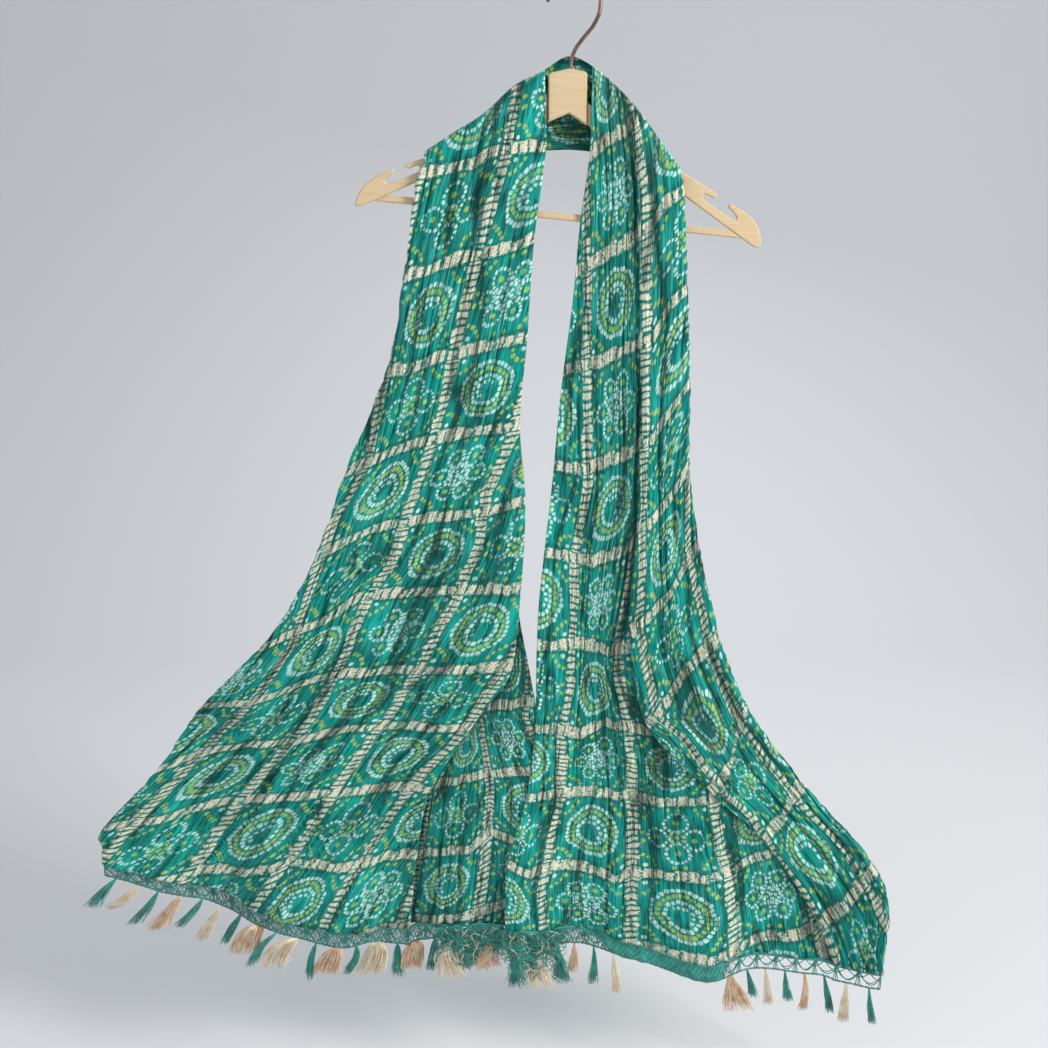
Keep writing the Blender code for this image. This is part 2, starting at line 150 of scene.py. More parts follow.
def make_piece(
    name: str,
    points: np.ndarray,
    faces: np.ndarray | list,
    finish: Material,
    uv: np.ndarray | None = None,
    values: dict[str, np.ndarray] | None = None,
) -> Piece:
    """Make a smooth-shaded mesh object that rides on the part's one body.

    Args:
        name: The piece's name.
        points: Its points, in metres.
        faces: Point numbers of each face.
        finish: Its material.
        uv: Cloth coordinates of each point.
        values: Named numbers for each point, that the material reads.

    Returns:
        The new object.
    """
    mesh = bpy.data.meshes.new(name)
    listed = faces.tolist() if isinstance(faces, np.ndarray) else faces
    mesh.from_pydata(np.reshape(points, (-1, 3)).tolist(), [], listed)
    if uv is not None:
        layer = mesh.uv_layers.new(name="cloth")
        corners = np.empty(len(mesh.loops), np.int32)
        mesh.loops.foreach_get("vertex_index", corners)
        layer.data.foreach_set("uv", np.reshape(uv, (-1, 2))[corners].astype(np.float32).ravel())
    for key, value in (values or {}).items():
        attribute = mesh.attributes.new(key, "FLOAT", "POINT")
        attribute.data.foreach_set("value", np.ravel(value).astype(np.float32))
    mesh.materials.append(finish)
    mesh.shade_smooth()
    made = bpy.data.objects.new(name, mesh)
    bpy.context.collection.objects.link(made)
    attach(made, BODY)
    LOG.info("%s: %d faces", name, len(listed))
    return made


def give_wall(cloth: Piece, wall: float) -> None:
    """Give a cloth surface its wall, half to each side."""
    shell = cloth.modifiers.new("wall", "SOLIDIFY")
    shell.thickness, shell.offset = wall, 0.0


class Slot(Enum):
    """The record's material slots."""

    SILK = "stole_silk"
    TRIM = "net_trim"
    WOOD = "hanger_wood"
    WIRE = "hook_wire"


class Graph:
    """A material's node tree, built one node at a time."""

    def __init__(self, name: str) -> None:
        """Start an empty material.

        Args:
            name: The material's name.
        """
        self.material = bpy.data.materials.new(name)
        self.material.use_nodes = True
        self.tree = self.material.node_tree
        self.tree.nodes.clear()

    def add(
        self, kind: str, *values: object, out: int | str = 0, named: dict | None = None, **settings: object
    ) -> Socket:
        """Add a node, set it up and link it.

        Args:
            kind: The node's type without its ShaderNode prefix, and after a point its operation.
            values: Sockets or constants for its inputs in order; None leaves one alone.
            out: The output to return.
            named: Sockets or constants for inputs picked by name or number.
            settings: Values of the node's own properties.

        Returns:
            The chosen output.
        """
        kind, _, operation = kind.partition(".")
        node = self.tree.nodes.new("ShaderNode" + kind)
        if operation:
            node.operation = operation
        for key, value in settings.items():
            setattr(node, key, value)
        pairs = list(zip(node.inputs, values))
        pairs += [(node.inputs[key], value) for key, value in (named or {}).items()]
        for socket, value in pairs:
            if isinstance(value, Socket):
                self.tree.links.new(value, socket)
            elif value is not None:
                socket.default_value = value
        return node.outputs[out]

    def finish(self, shader: Socket) -> Material:
        """Link the shader to the material's output.

        Args:
            shader: The shader.

        Returns:
            The material.
        """
        target = self.tree.nodes.new("ShaderNodeOutputMaterial")
        self.tree.links.new(shader, target.inputs["Surface"])
        return self.material


@dataclass(frozen=True)
class BandhaniSilk:
    """Crush-pleated art silk, tie-dyed: saturated teal with pale resist dots and cream bars.

    Sizes are shares of a printed square, which is 105 mm on a side.
    """

    teal: str = "0BB8AC"
    deep_teal: str = "026A60"
    # Painted shade: the dark colour laid into creases and shaded hollows.
    crease_shade: str = "012D28"
    cream: str = "EAE3CA"
    tan: str = "C08D6C"
    rim: str = "86BCA8"
    halo: str = "035E54"
    white_dot: str = "C8F4EA"
    yellow_dot: str = "A9CE6E"
    olive: str = "64822E"
    row_band: float = 0.064
    line_band: float = 0.068
    # Painted highlight: the pale teal laid along the crush ridges.
    ridge_highlight: str = "86D8C6"
    bars_across: float = 8.5
    bars_along: float = 13.0
    dot: float = 0.048
    roughness: float = 0.38

    def blur(self, g: Graph, reach: object, size: object, soft: float = 0.006) -> Socket:
        """Return 1 inside a shape and 0 outside, with a soft dyed edge.

        Args:
            g: The material.
            reach: Distance from the shape's middle.
            size: The shape's half width.
            soft: Half the width of the edge.

        Returns:
            The mask.
        """
        inside = g.add("Math.SUBTRACT", size, reach)
        return g.add("MapRange", inside, -soft, soft, 0.0, 1.0, interpolation_type="SMOOTHSTEP")

    def ring(
        self, g: Graph, point: object, radius: float, count: int, size: float, seed: object, spin: float = 0.0
    ) -> Socket:
        """Return the mask of a ring of squarish resist dots, each a little off its place.

        Args:
            g: The material.
            point: Place in the square, from the ring's centre.
            radius: The ring's radius.
            count: Number of dots.
            size: A dot's width.
            seed: A number that differs from square to square.
            spin: Turn of the first dot, in dots.

        Returns:
            The mask.
        """
        parts = g.add("SeparateXYZ", point)
        across, up = parts, parts.node.outputs[1]
        angle = g.add("Math.ARCTAN2", up, across)
        turn = g.add("Math.MULTIPLY_ADD", angle, count / math.tau, spin)
        which = g.add("Math.FLOOR", turn)
        key = g.add("CombineXYZ", which, seed, float(count) + radius)
        scatter = g.add("TexWhiteNoise", key, out="Value", noise_dimensions="3D")
        part = g.add("Math.FRACT", turn)
        step = math.tau * radius / count
        along = g.add("Math.MULTIPLY_ADD", part, step, -0.5 * step)
        length = g.add("VectorMath.LENGTH", point, out="Value")
        moved = g.add("Math.MULTIPLY_ADD", scatter, 0.018, -radius - 0.009)
        away = g.add("Math.ADD", length, moved)
        flat = g.add("CombineXYZ", along, away, 0.0)
        around = g.add("VectorMath.LENGTH", flat, out="Value")
        sides = g.add("VectorMath.ABSOLUTE", flat)
        wide = g.add("SeparateXYZ", sides)
        square = g.add("Math.MAXIMUM", wide, wide.node.outputs[1])
        reach = g.add("Math.ADD", around, square)
        half = g.add("Math.MULTIPLY_ADD", scatter, -0.20 * size, 1.08 * size)
        return self.blur(g, reach, half, 0.012)

    def spot(self, g: Graph, point: object, at: tuple[float, float], size: float) -> Socket:
        """Return the mask of one dot.

        Args:
            g: The material.
            point: Place in the square.
            at: The dot's middle.
            size: Its width.

        Returns:
            The mask.
        """
        off = g.add("VectorMath.SUBTRACT", point, (*at, 0.0))
        reach = g.add("VectorMath.LENGTH", off, out="Value")
        return self.blur(g, reach, size / 2)

    def join(self, g: Graph, *masks: object) -> Socket:
        """Join masks.

        Args:
            g: The material.
            masks: The masks.

        Returns:
            The largest of them at each place.
        """
        whole = masks[0]
        for mask in masks[1:]:
            whole = g.add("Math.MAXIMUM", whole, mask)
        return whole

    def bars(
        self, g: Graph, away: object, run: object, count: float, gap: float, ragged: float,
        seed: float, band: float,
    ) -> Socket:
        """Return the mask of a band of bars that lie across it, uneven in length and width.

        Args:
            g: The material.
            away: Signed distance from the band's middle line.
            run: Place along the band.
            count: Bars to a printed square.
            gap: Half a bar's least width, as a share of its room.
            ragged: How far its sides wander, as a share of its room.
            seed: Sets the unevenness.
            band: The band's half width.

        Returns:
            The mask.
        """
        place = g.add("CombineXYZ", run, away, seed)
        drift = g.add("TexNoise", place, None, 7.0, 1.0, noise_dimensions="3D")
        run = g.add("Math.MULTIPLY_ADD", drift, 0.07, run)
        turn = g.add("Math.MULTIPLY", run, count)
        which = g.add("Math.FLOOR", turn)
        scatter = g.add("TexWhiteNoise", g.add("CombineXYZ", which, seed, 0.0), out="Value")
        part = g.add("Math.FRACT", turn)
        middle = g.add("Math.ABSOLUTE", g.add("Math.SUBTRACT", part, 0.5))
        rough = g.add("TexNoise", place, None, 34.0, 2.0, noise_dimensions="3D")
        wide = g.add("Math.MULTIPLY_ADD", scatter, 0.11, gap)
        uneven = g.add("Math.SUBTRACT", rough, 0.5)
        wide = g.add("Math.MULTIPLY_ADD", uneven, ragged, wide)
        bar = self.blur(g, middle, wide, 0.12)
        moved = g.add("Math.MULTIPLY_ADD", scatter, 0.024, -0.012)
        off = g.add("Math.ABSOLUTE", g.add("Math.ADD", away, moved))
        long = g.add("Math.MULTIPLY_ADD", scatter, band * 0.30, band * 0.36)
        long = g.add("Math.MULTIPLY_ADD", rough, band * 0.96, long)
        bar = g.add("Math.MULTIPLY", bar, self.blur(g, off, long, 0.012))
        seep = g.add("TexNoise", place, None, 30.0, 2.0, noise_dimensions="3D")
        seep = g.add("MapRange", seep, 0.56, 0.74, 1.0, 0.40)
        return g.add("Math.MULTIPLY", bar, seep)

    def build(self) -> Material:
        """Build the silk: print, painted shade in its creases, a painted highlight on its crush ridges, fine
        crush and weave.

        Noise scales are counts to a printed square of 105 mm. The crush's fine lines are 3.3 mm apart
        and its broad ones 8 mm. The real weave, about 0.2 mm, is too fine to show and is drawn at
        0.7 mm.

        Returns:
            The material.
        """
        g = Graph("bandhani_crushed_silk")
        cloth = g.add("UVMap", out="UV", uv_map="cloth")
        stray = g.add("TexNoise", cloth, None, 2.6, 1.5, out="Color")
        sway = g.add("VectorMath.SUBTRACT", stray, (0.5, 0.5, 0.5))
        sway = g.add("VectorMath.MULTIPLY", sway, (0.10, 0.10, 0.0))
        place = g.add("VectorMath.ADD", cloth, sway)
        cell = g.add("VectorMath.FLOOR", place)
        middle = g.add("VectorMath.ADD", cell, (0.5, 0.5, 0.0))
        point = g.add("VectorMath.SUBTRACT", place, middle)
        parts = g.add("SeparateXYZ", cell)
        column, row = parts, parts.node.outputs[1]
        seed = g.add("Math.MULTIPLY_ADD", column, 7.31, row)
        both = g.add("Math.ADD", column, row)
        is_ring = g.add("Math.FLOORED_MODULO", both, 2.0)
        odd_column = g.add("Math.FLOORED_MODULO", column, 2.0)

        half = g.add("VectorMath.DOT_PRODUCT", point, (0.8, 0.6, 0.0), out="Value")
        one_side = self.blur(g, half, 0.02)
        inmost = self.ring(g, point, 0.100, 10, self.dot * 0.85, seed, 0.6)
        ring_white = self.join(
            g,
            self.ring(g, point, 0.308, 33, self.dot, seed),
            self.ring(g, point, 0.166, 17, self.dot, seed, 0.3),
            g.add("Math.MULTIPLY", inmost, one_side),
        )
        ring_yellow = self.ring(g, point, 0.239, 24, self.dot * 1.06, seed, 0.2)
        dense_white, dense_yellow = self.flower(g, point, seed, 6, 0.222, 0.094, 12)
        core = self.join(
            g,
            self.ring(g, point, 0.104, 12, self.dot * 0.9, seed, 0.4),
            self.spot(g, point, (0.0, 0.0), self.dot),
            self.ring(g, point, 0.055, 5, self.dot * 0.8, seed, 0.1),
        )
        dense_white = self.join(g, dense_white, core)
        open_white, open_yellow = self.flower(g, point, seed, 4, 0.208, 0.118, 14)
        heart = self.join(
            g,
            self.ring(g, point, 0.076, 7, self.dot, seed, 0.5),
            self.spot(g, point, (0.0, 0.0), self.dot),
        )
        open_yellow = self.join(g, open_yellow, heart)

        flower_white = g.add("Mix", named={0: odd_column, 2: open_white, 3: dense_white}, **NUMBER_MIX)
        white = g.add("Mix", named={0: is_ring, 2: flower_white, 3: ring_white}, **NUMBER_MIX)
        flower_yellow = g.add("Mix", named={0: odd_column, 2: open_yellow, 3: dense_yellow}, **NUMBER_MIX)
        yellow = g.add("Mix", named={0: is_ring, 2: flower_yellow, 3: ring_yellow}, **NUMBER_MIX)
        folded = g.add("VectorMath.ABSOLUTE", point)
        corner = g.add("VectorMath.SUBTRACT", folded, (0.5, 0.5, 0.0))
        arc = self.ring(g, corner, 0.285, 27, self.dot * 0.95, seed, 0.0)
        slope = g.add("SeparateXYZ", corner)
        lean = g.add("Math.SUBTRACT", slope, slope.node.outputs[1])
        near = self.blur(g, g.add("Math.ABSOLUTE", lean), 0.165, 0.012)
        yellow = self.join(g, yellow, g.add("Math.MULTIPLY", arc, near))
        white = self.join(g, white, self.spot(g, folded, (0.375, 0.375), self.dot))
        beside = self.join(
            g, self.spot(g, folded, (0.385, 0.055), self.dot), self.spot(g, folded, (0.055, 0.385), self.dot)
        )
        beside = g.add("Mix", named={0: is_ring, 2: beside, 3: 0.0}, **NUMBER_MIX)
        yellow = self.join(g, yellow, beside)

        split = g.add("SeparateXYZ", place)
        u, v = split, split.node.outputs[1]
        off_u = g.add("Math.FRACT", g.add("Math.ADD", u, 0.5))
        off_u = g.add("Math.SUBTRACT", off_u, 0.5)
        off_v = g.add("Math.FRACT", g.add("Math.ADD", v, 0.5))
        off_v = g.add("Math.SUBTRACT", off_v, 0.5)
        crosswise = self.bars(g, off_v, u, self.bars_across, 0.35, 0.80, 3.7, self.row_band)
        lengthwise = self.bars(g, off_u, v, self.bars_along, 0.29, 0.36, 8.1, self.line_band)
        on_row = self.blur(g, g.add("Math.ABSOLUTE", off_v), self.row_band * 1.15, 0.004)
        off_row = g.add("Math.SUBTRACT", 1.0, on_row)
        lengthwise = g.add("Math.MULTIPLY", lengthwise, off_row)
        cream = self.join(g, crosswise, lengthwise)

        fibre = g.add("VectorMath.MULTIPLY", cloth, (26.0, 1.6, 1.0))
        streak = g.add("TexNoise", fibre, None, 1.0, 3.0)
        patch = g.add("TexNoise", cloth, None, 2.3, 2.0)
        patch = g.add("Math.MULTIPLY_ADD", patch, 0.5, -0.1)
        tone = g.add("Math.MULTIPLY_ADD", streak, 0.65, patch)
        tone = g.add("MapRange", tone, 0.32, 0.68, 0.0, 1.0)
        ground = g.add("Mix", named={0: tone, 6: linear(self.deep_teal), 7: linear(self.teal)}, **COLOUR_MIX)
        beside_row = self.blur(g, g.add("Math.ABSOLUTE", off_v), self.line_band * 1.45, 0.035)
        beside_line = self.blur(g, g.add("Math.ABSOLUTE", off_u), self.line_band * 1.45, 0.035)
        halo = g.add("Math.MULTIPLY", self.join(g, beside_row, beside_line), 0.62)
        ground = g.add("Mix", named={0: halo, 6: ground, 7: linear(self.halo)}, **COLOUR_MIX)
        fleck = g.add("TexNoise", cloth, None, 30.0, 3.0)
        pinkish = g.add("MapRange", fleck, 0.54, 0.72, 0.0, 0.70)
        body = g.add("Mix", named={0: pinkish, 6: linear(self.cream), 7: linear(self.tan)}, **COLOUR_MIX)
        firm = g.add("Math.POWER", cream, 3.0)
        body = g.add("Mix", named={0: firm, 6: linear(self.rim), 7: body}, **COLOUR_MIX)
        colour = g.add("Mix", named={0: yellow, 6: ground, 7: linear(self.yellow_dot)}, **COLOUR_MIX)
        colour = g.add("Mix", named={0: white, 6: colour, 7: linear(self.white_dot)}, **COLOUR_MIX)
        colour = g.add("Mix", named={0: cream, 6: colour, 7: body}, **COLOUR_MIX)
        speck = g.add("TexNoise", cloth, None, 120.0, 1.0)
        dull = g.add("MapRange", speck, 0.48, 0.72, 0.0, 0.55)
        printed = self.join(g, yellow, white)
        dulled = g.add("Math.MULTIPLY", dull, printed)
        colour = g.add("Mix", named={0: dulled, 6: colour, 7: linear(self.olive)}, **COLOUR_MIX)

        crush = g.add("VectorMath.MULTIPLY", cloth, (32.0, 1.7, 1.0))
        lines = g.add("TexNoise", crush, None, 1.0, 4.0, named={"Distortion": 0.6})
        valley = g.add("Math.ABSOLUTE", g.add("Math.SUBTRACT", lines, 0.5))
        # Painted shade: thin dark lines along the crush valleys.
        valley_shade = g.add("MapRange", valley, 0.0, 0.045, 0.40, 0.0)
        pleat = g.add("VectorMath.MULTIPLY", cloth, (13.0, 0.7, 1.0))
        broad = g.add("TexNoise", pleat, None, 1.0, 2.0, named={"Distortion": 0.9})
        trough = g.add("Math.ABSOLUTE", g.add("Math.SUBTRACT", broad, 0.5))
        # Painted shade: dark lines along the broad pleat troughs.
        line = g.add("MapRange", trough, 0.0, 0.026, 0.72, 0.0)
        # Painted shade laid on the mesh: in the creases, behind the fold and below the block.
        mesh_shade = g.add("Attribute", out="Fac", attribute_name="crease_shade")
        shade = g.add("Math.MULTIPLY_ADD", mesh_shade, 0.75, g.add("Math.ADD", valley_shade, line))
        shade = g.add("Math.MINIMUM", shade, 0.90)
        # Painted highlight: paler teal on the crush ridges, away from the valleys.
        top = g.add("MapRange", valley, 0.07, 0.20, 0.0, 0.26)
        colour = g.add("Mix", named={0: top, 6: colour, 7: linear(self.ridge_highlight)}, **COLOUR_MIX)
        colour = g.add("Mix", named={0: shade, 6: colour, 7: linear(self.crease_shade)}, **COLOUR_MIX)

        weave = g.add("VectorMath.MULTIPLY", cloth, (150.0, 150.0, 1.0))
        thread = g.add("TexNoise", weave, None, 1.0, 1.0)
        relief = g.add("Math.MULTIPLY_ADD", thread, 0.12, valley)
        relief = g.add("Math.MULTIPLY_ADD", trough, 1.6, relief)
        bump = g.add("Bump", 0.60, 0.0028, named={"Height": relief})
        shader = g.add(
            "BsdfPrincipled",
            named={
                "Base Color": colour,
                "Roughness": self.roughness,
                "IOR": 1.54,
                "Specular IOR Level": 0.12,
                "Sheen Weight": 0.02,
                "Sheen Roughness": 0.35,
                "Normal": bump,
            },
        )
        return g.finish(shader)

    def flower(
        self, g: Graph, point: object, seed: object, petals: int, out: float, loop: float, dots: int
    ) -> tuple[Socket, Socket]:
        """Return the masks of a flower: loops of pale dots round the middle, each with a yellow dot.

        Args:
            g: The material.
            point: Place in the square, from its middle.
            seed: A number that differs from square to square.
            petals: Number of loops.
            out: Distance of a loop's middle from the flower's.
            loop: A loop's radius.
            dots: Dots in a loop.

        Returns:
            The pale mask and the yellow mask.
        """
        parts = g.add("SeparateXYZ", point)
        angle = g.add("Math.ARCTAN2", parts.node.outputs[1], parts)
        turn = g.add("Math.MULTIPLY_ADD", angle, petals / math.tau, 0.5)
        part = g.add("Math.SUBTRACT", g.add("Math.FRACT", turn), 0.5)
        lean = g.add("Math.MULTIPLY", part, math.tau / petals)
        length = g.add("VectorMath.LENGTH", point, out="Value")
        forward = g.add("Math.MULTIPLY", g.add("Math.COSINE", lean), length)
        side = g.add("Math.MULTIPLY", g.add("Math.SINE", lean), length)
        forward = g.add("Math.SUBTRACT", forward, out)
        local = g.add("CombineXYZ", forward, side, 0.0)
        pale = self.ring(g, local, loop, dots, self.dot * 0.74, seed)
        reach = g.add("VectorMath.LENGTH", local, out="Value")
        return pale, self.blur(g, reach, self.dot * 0.62)


@dataclass(frozen=True)
class SpunSilk:
    """Viscose thread: soft, fine and a little glossy, dyed in the hank so that its tone runs."""

    name: str
    light: str
    dark: str
    roughness: float = 0.48

    def build(self) -> Material:
        """Build the thread: tone in 11 mm stretches and a twist 1.1 mm long.

        Returns:
            The material.
        """
        g = Graph(self.name)
        where = g.add("TexCoord", out="Object")
        tone = g.add("TexNoise", where, None, 90.0, 3.0)
        tone = g.add("MapRange", tone, 0.3, 0.7, 0.0, 1.0)
        colour = g.add("Mix", named={0: tone, 6: linear(self.dark), 7: linear(self.light)}, **COLOUR_MIX)
        twist = g.add("TexNoise", where, None, 900.0, 1.0)
        bump = g.add("Bump", 0.3, 0.0004, named={"Height": twist})
        shader = g.add(
            "BsdfPrincipled",
            named={
                "Base Color": colour,
                "Roughness": self.roughness,
                "IOR": 1.53,
                "Sheen Weight": 0.3,
                "Normal": bump,
            },
        )
        return g.finish(shader)


@dataclass(frozen=True)
class LacqueredBeech:
    """Beech, sanded and thinly lacquered: pale honey with short fine flecks along the grain."""

    pale: str = "D6BF99"
    grain: str = "CDB38C"
    fleck: str = "B59A72"

    def build(self) -> Material:
        """Build the wood, whose grain is 1.6 mm wide and follows the hanger's slope.

        Returns:
            The material.
        """
        g = Graph("lacquered_beech")
        where = g.add("TexCoord", out="Object")
        along = g.add("Mapping", where, None, (0.0, math.radians(6.0), 0.0), (28.0, 260.0, 620.0))
        rings = g.add("TexNoise", along, None, 1.0, 4.0, named={"Distortion": 0.4})
        tone = g.add("MapRange", rings, 0.35, 0.68, 0.0, 1.0)
        colour = g.add("Mix", named={0: tone, 6: linear(self.pale), 7: linear(self.grain)}, **COLOUR_MIX)
        short = g.add("Mapping", where, None, (0.0, math.radians(6.0), 0.0), (160.0, 900.0, 1500.0))
        dash = g.add("TexNoise", short, None, 1.0, 1.0)
        dark = g.add("MapRange", dash, 0.62, 0.74, 0.0, 0.5)
        colour = g.add("Mix", named={0: dark, 6: colour, 7: linear(self.fleck)}, **COLOUR_MIX)
        bump = g.add("Bump", 0.12, 0.0004, named={"Height": rings})
        rough = g.add("MapRange", rings, 0.3, 0.7, 0.34, 0.46)
        shader = g.add(
            "BsdfPrincipled",
            named={
                "Base Color": colour,
                "Roughness": rough,
                "IOR": 1.5,
                "Coat Weight": 0.25,
                "Coat Roughness": 0.25,
                "Normal": bump,
            },
        )
        return g.finish(shader)


@dataclass(frozen=True)
class BronzedSteelWire:
    """Drawn steel wire with a thin brown bronze finish, dulled by handling."""

    bright: str = "A08274"
    dull: str = "6E564A"

    def build(self) -> Material:
        """Build the wire's finish, duller in patches about 8 mm across.

        Returns:
            The material.
        """
        g = Graph("bronzed_steel_wire")
        where = g.add("TexCoord", out="Object")
        patch = g.add("TexNoise", where, None, 120.0, 3.0)
        colour = g.add("Mix", named={0: patch, 6: linear(self.dull), 7: linear(self.bright)}, **COLOUR_MIX)
        rough = g.add("MapRange", patch, 0.3, 0.7, 0.26, 0.42)
        shader = g.add("BsdfPrincipled", named={"Base Color": colour, "Metallic": 1.0, "Roughness": rough})
        return g.finish(shader)


@dataclass(frozen=True)
class StudioPaper:
    """Matt pale grey backdrop paper."""

    grey: str = "D3D5D8"

    def build(self) -> Material:
        """Build the paper.

        Returns:
            The material.
        """
        g = Graph("studio_paper")
        shader = g.add("BsdfPrincipled", named={"Base Color": linear(self.grey), "Roughness": 0.9})
        return g.finish(shader)


Line = tuple[tuple[float, float], ...]
"""Places of a printed line in millimetres, as X and Z."""


@dataclass(frozen=True)
class PrintLines:
    """The printed grid as it hangs: where its lengthwise and crosswise lines run.

    Each lengthwise line has the number of the column that starts at it, and each crosswise line
    the number of its row. A line runs straight on for past_end beyond its last place, and two lines
    keep least_gap between them, both in metres.
    """

    lengthwise: dict[int, Line]
    crosswise: dict[int, Line]
    past_end: float = 0.06
    least_gap: float = 0.02

    def spread(
        self, lines: dict[int, Line], at: np.ndarray, value: np.ndarray, by_height: bool
    ) -> np.ndarray:
        """Number places between lines: whole on each line, and even between two.

        Args:
            lines: The numbered lines.
            at: The coordinate that the lines are read at.
            value: The other coordinate of each place.
            by_height: Whether lines are read at a height, as the lengthwise ones are.

        Returns:
            The place's number, in printed squares.
        """
        known, read = 1 if by_height else 0, 0 if by_height else 1
        numbers = np.array(sorted(lines))
        crossings = []
        for number in numbers:
            line = np.array(lines[number]) * MM
            line = line[np.argsort(line[:, known])]
            ends = (line[1, read] - line[0, read]) / (line[1, known] - line[0, known])
            ends_high = (line[-1, read] - line[-2, read]) / (line[-1, known] - line[-2, known])
            inner = np.interp(at, line[:, known], line[:, read])
            low = np.clip(at - line[0, known], -self.past_end, 0.0) * ends
            high = np.clip(at - line[-1, known], 0.0, self.past_end) * ends_high
            crossings.append(inner + low + high)
        crossings = np.array(crossings)
        sign = np.sign(np.median(np.diff(crossings, axis=0)))
        room = self.least_gap * np.arange(len(numbers)).reshape(-1, *([1] * value.ndim))
        crossings = sign * (np.maximum.accumulate(sign * crossings - room, axis=0) + room)
        place = np.zeros_like(value)
        for k in range(len(numbers) - 1):
            first = k == 0
            last = k == len(numbers) - 2
            share = (value - crossings[k]) / (crossings[k + 1] - crossings[k])
            held = np.clip(share, -np.inf if first else 0.0, np.inf if last else 1.0)
            place = place + held * (numbers[k + 1] - numbers[k])
        return place + numbers[0]

    def coordinates(self, x: np.ndarray, z: np.ndarray) -> np.ndarray:
        """Find places of a fall on its cloth.

        Args:
            x: X of each place.
            z: Z of each place.

        Returns:
            The cloth coordinates, in printed squares.
        """
        across = self.spread(self.lengthwise, z, x, True)
        along = self.spread(self.crosswise, x, z, False)
        return np.stack((across, along), axis=-1)


@dataclass(frozen=True)
class Crease:
    """A long fold along a listed route: a soft trough, or a ridge where its depth is negative."""

    route: Line
    width: float
    depth: float

    def relief(self, x: np.ndarray, z: np.ndarray) -> np.ndarray:
        """Work out the trough: a bell across the route, faded at its ends.

        Args:
            x: X of each place.
            z: Z of each place.

        Returns:
            The trough's depth at each place.
        """
        line = np.array(self.route) * MM
        line = line[np.argsort(line[:, 1])]
        middle = np.interp(z, line[:, 1], line[:, 0])
        fade = eased((z - line[0, 1]) / 0.03) * eased((line[-1, 1] - z) / 0.03)
        return self.depth * np.exp(-(((x - middle) / self.width) ** 2)) * fade


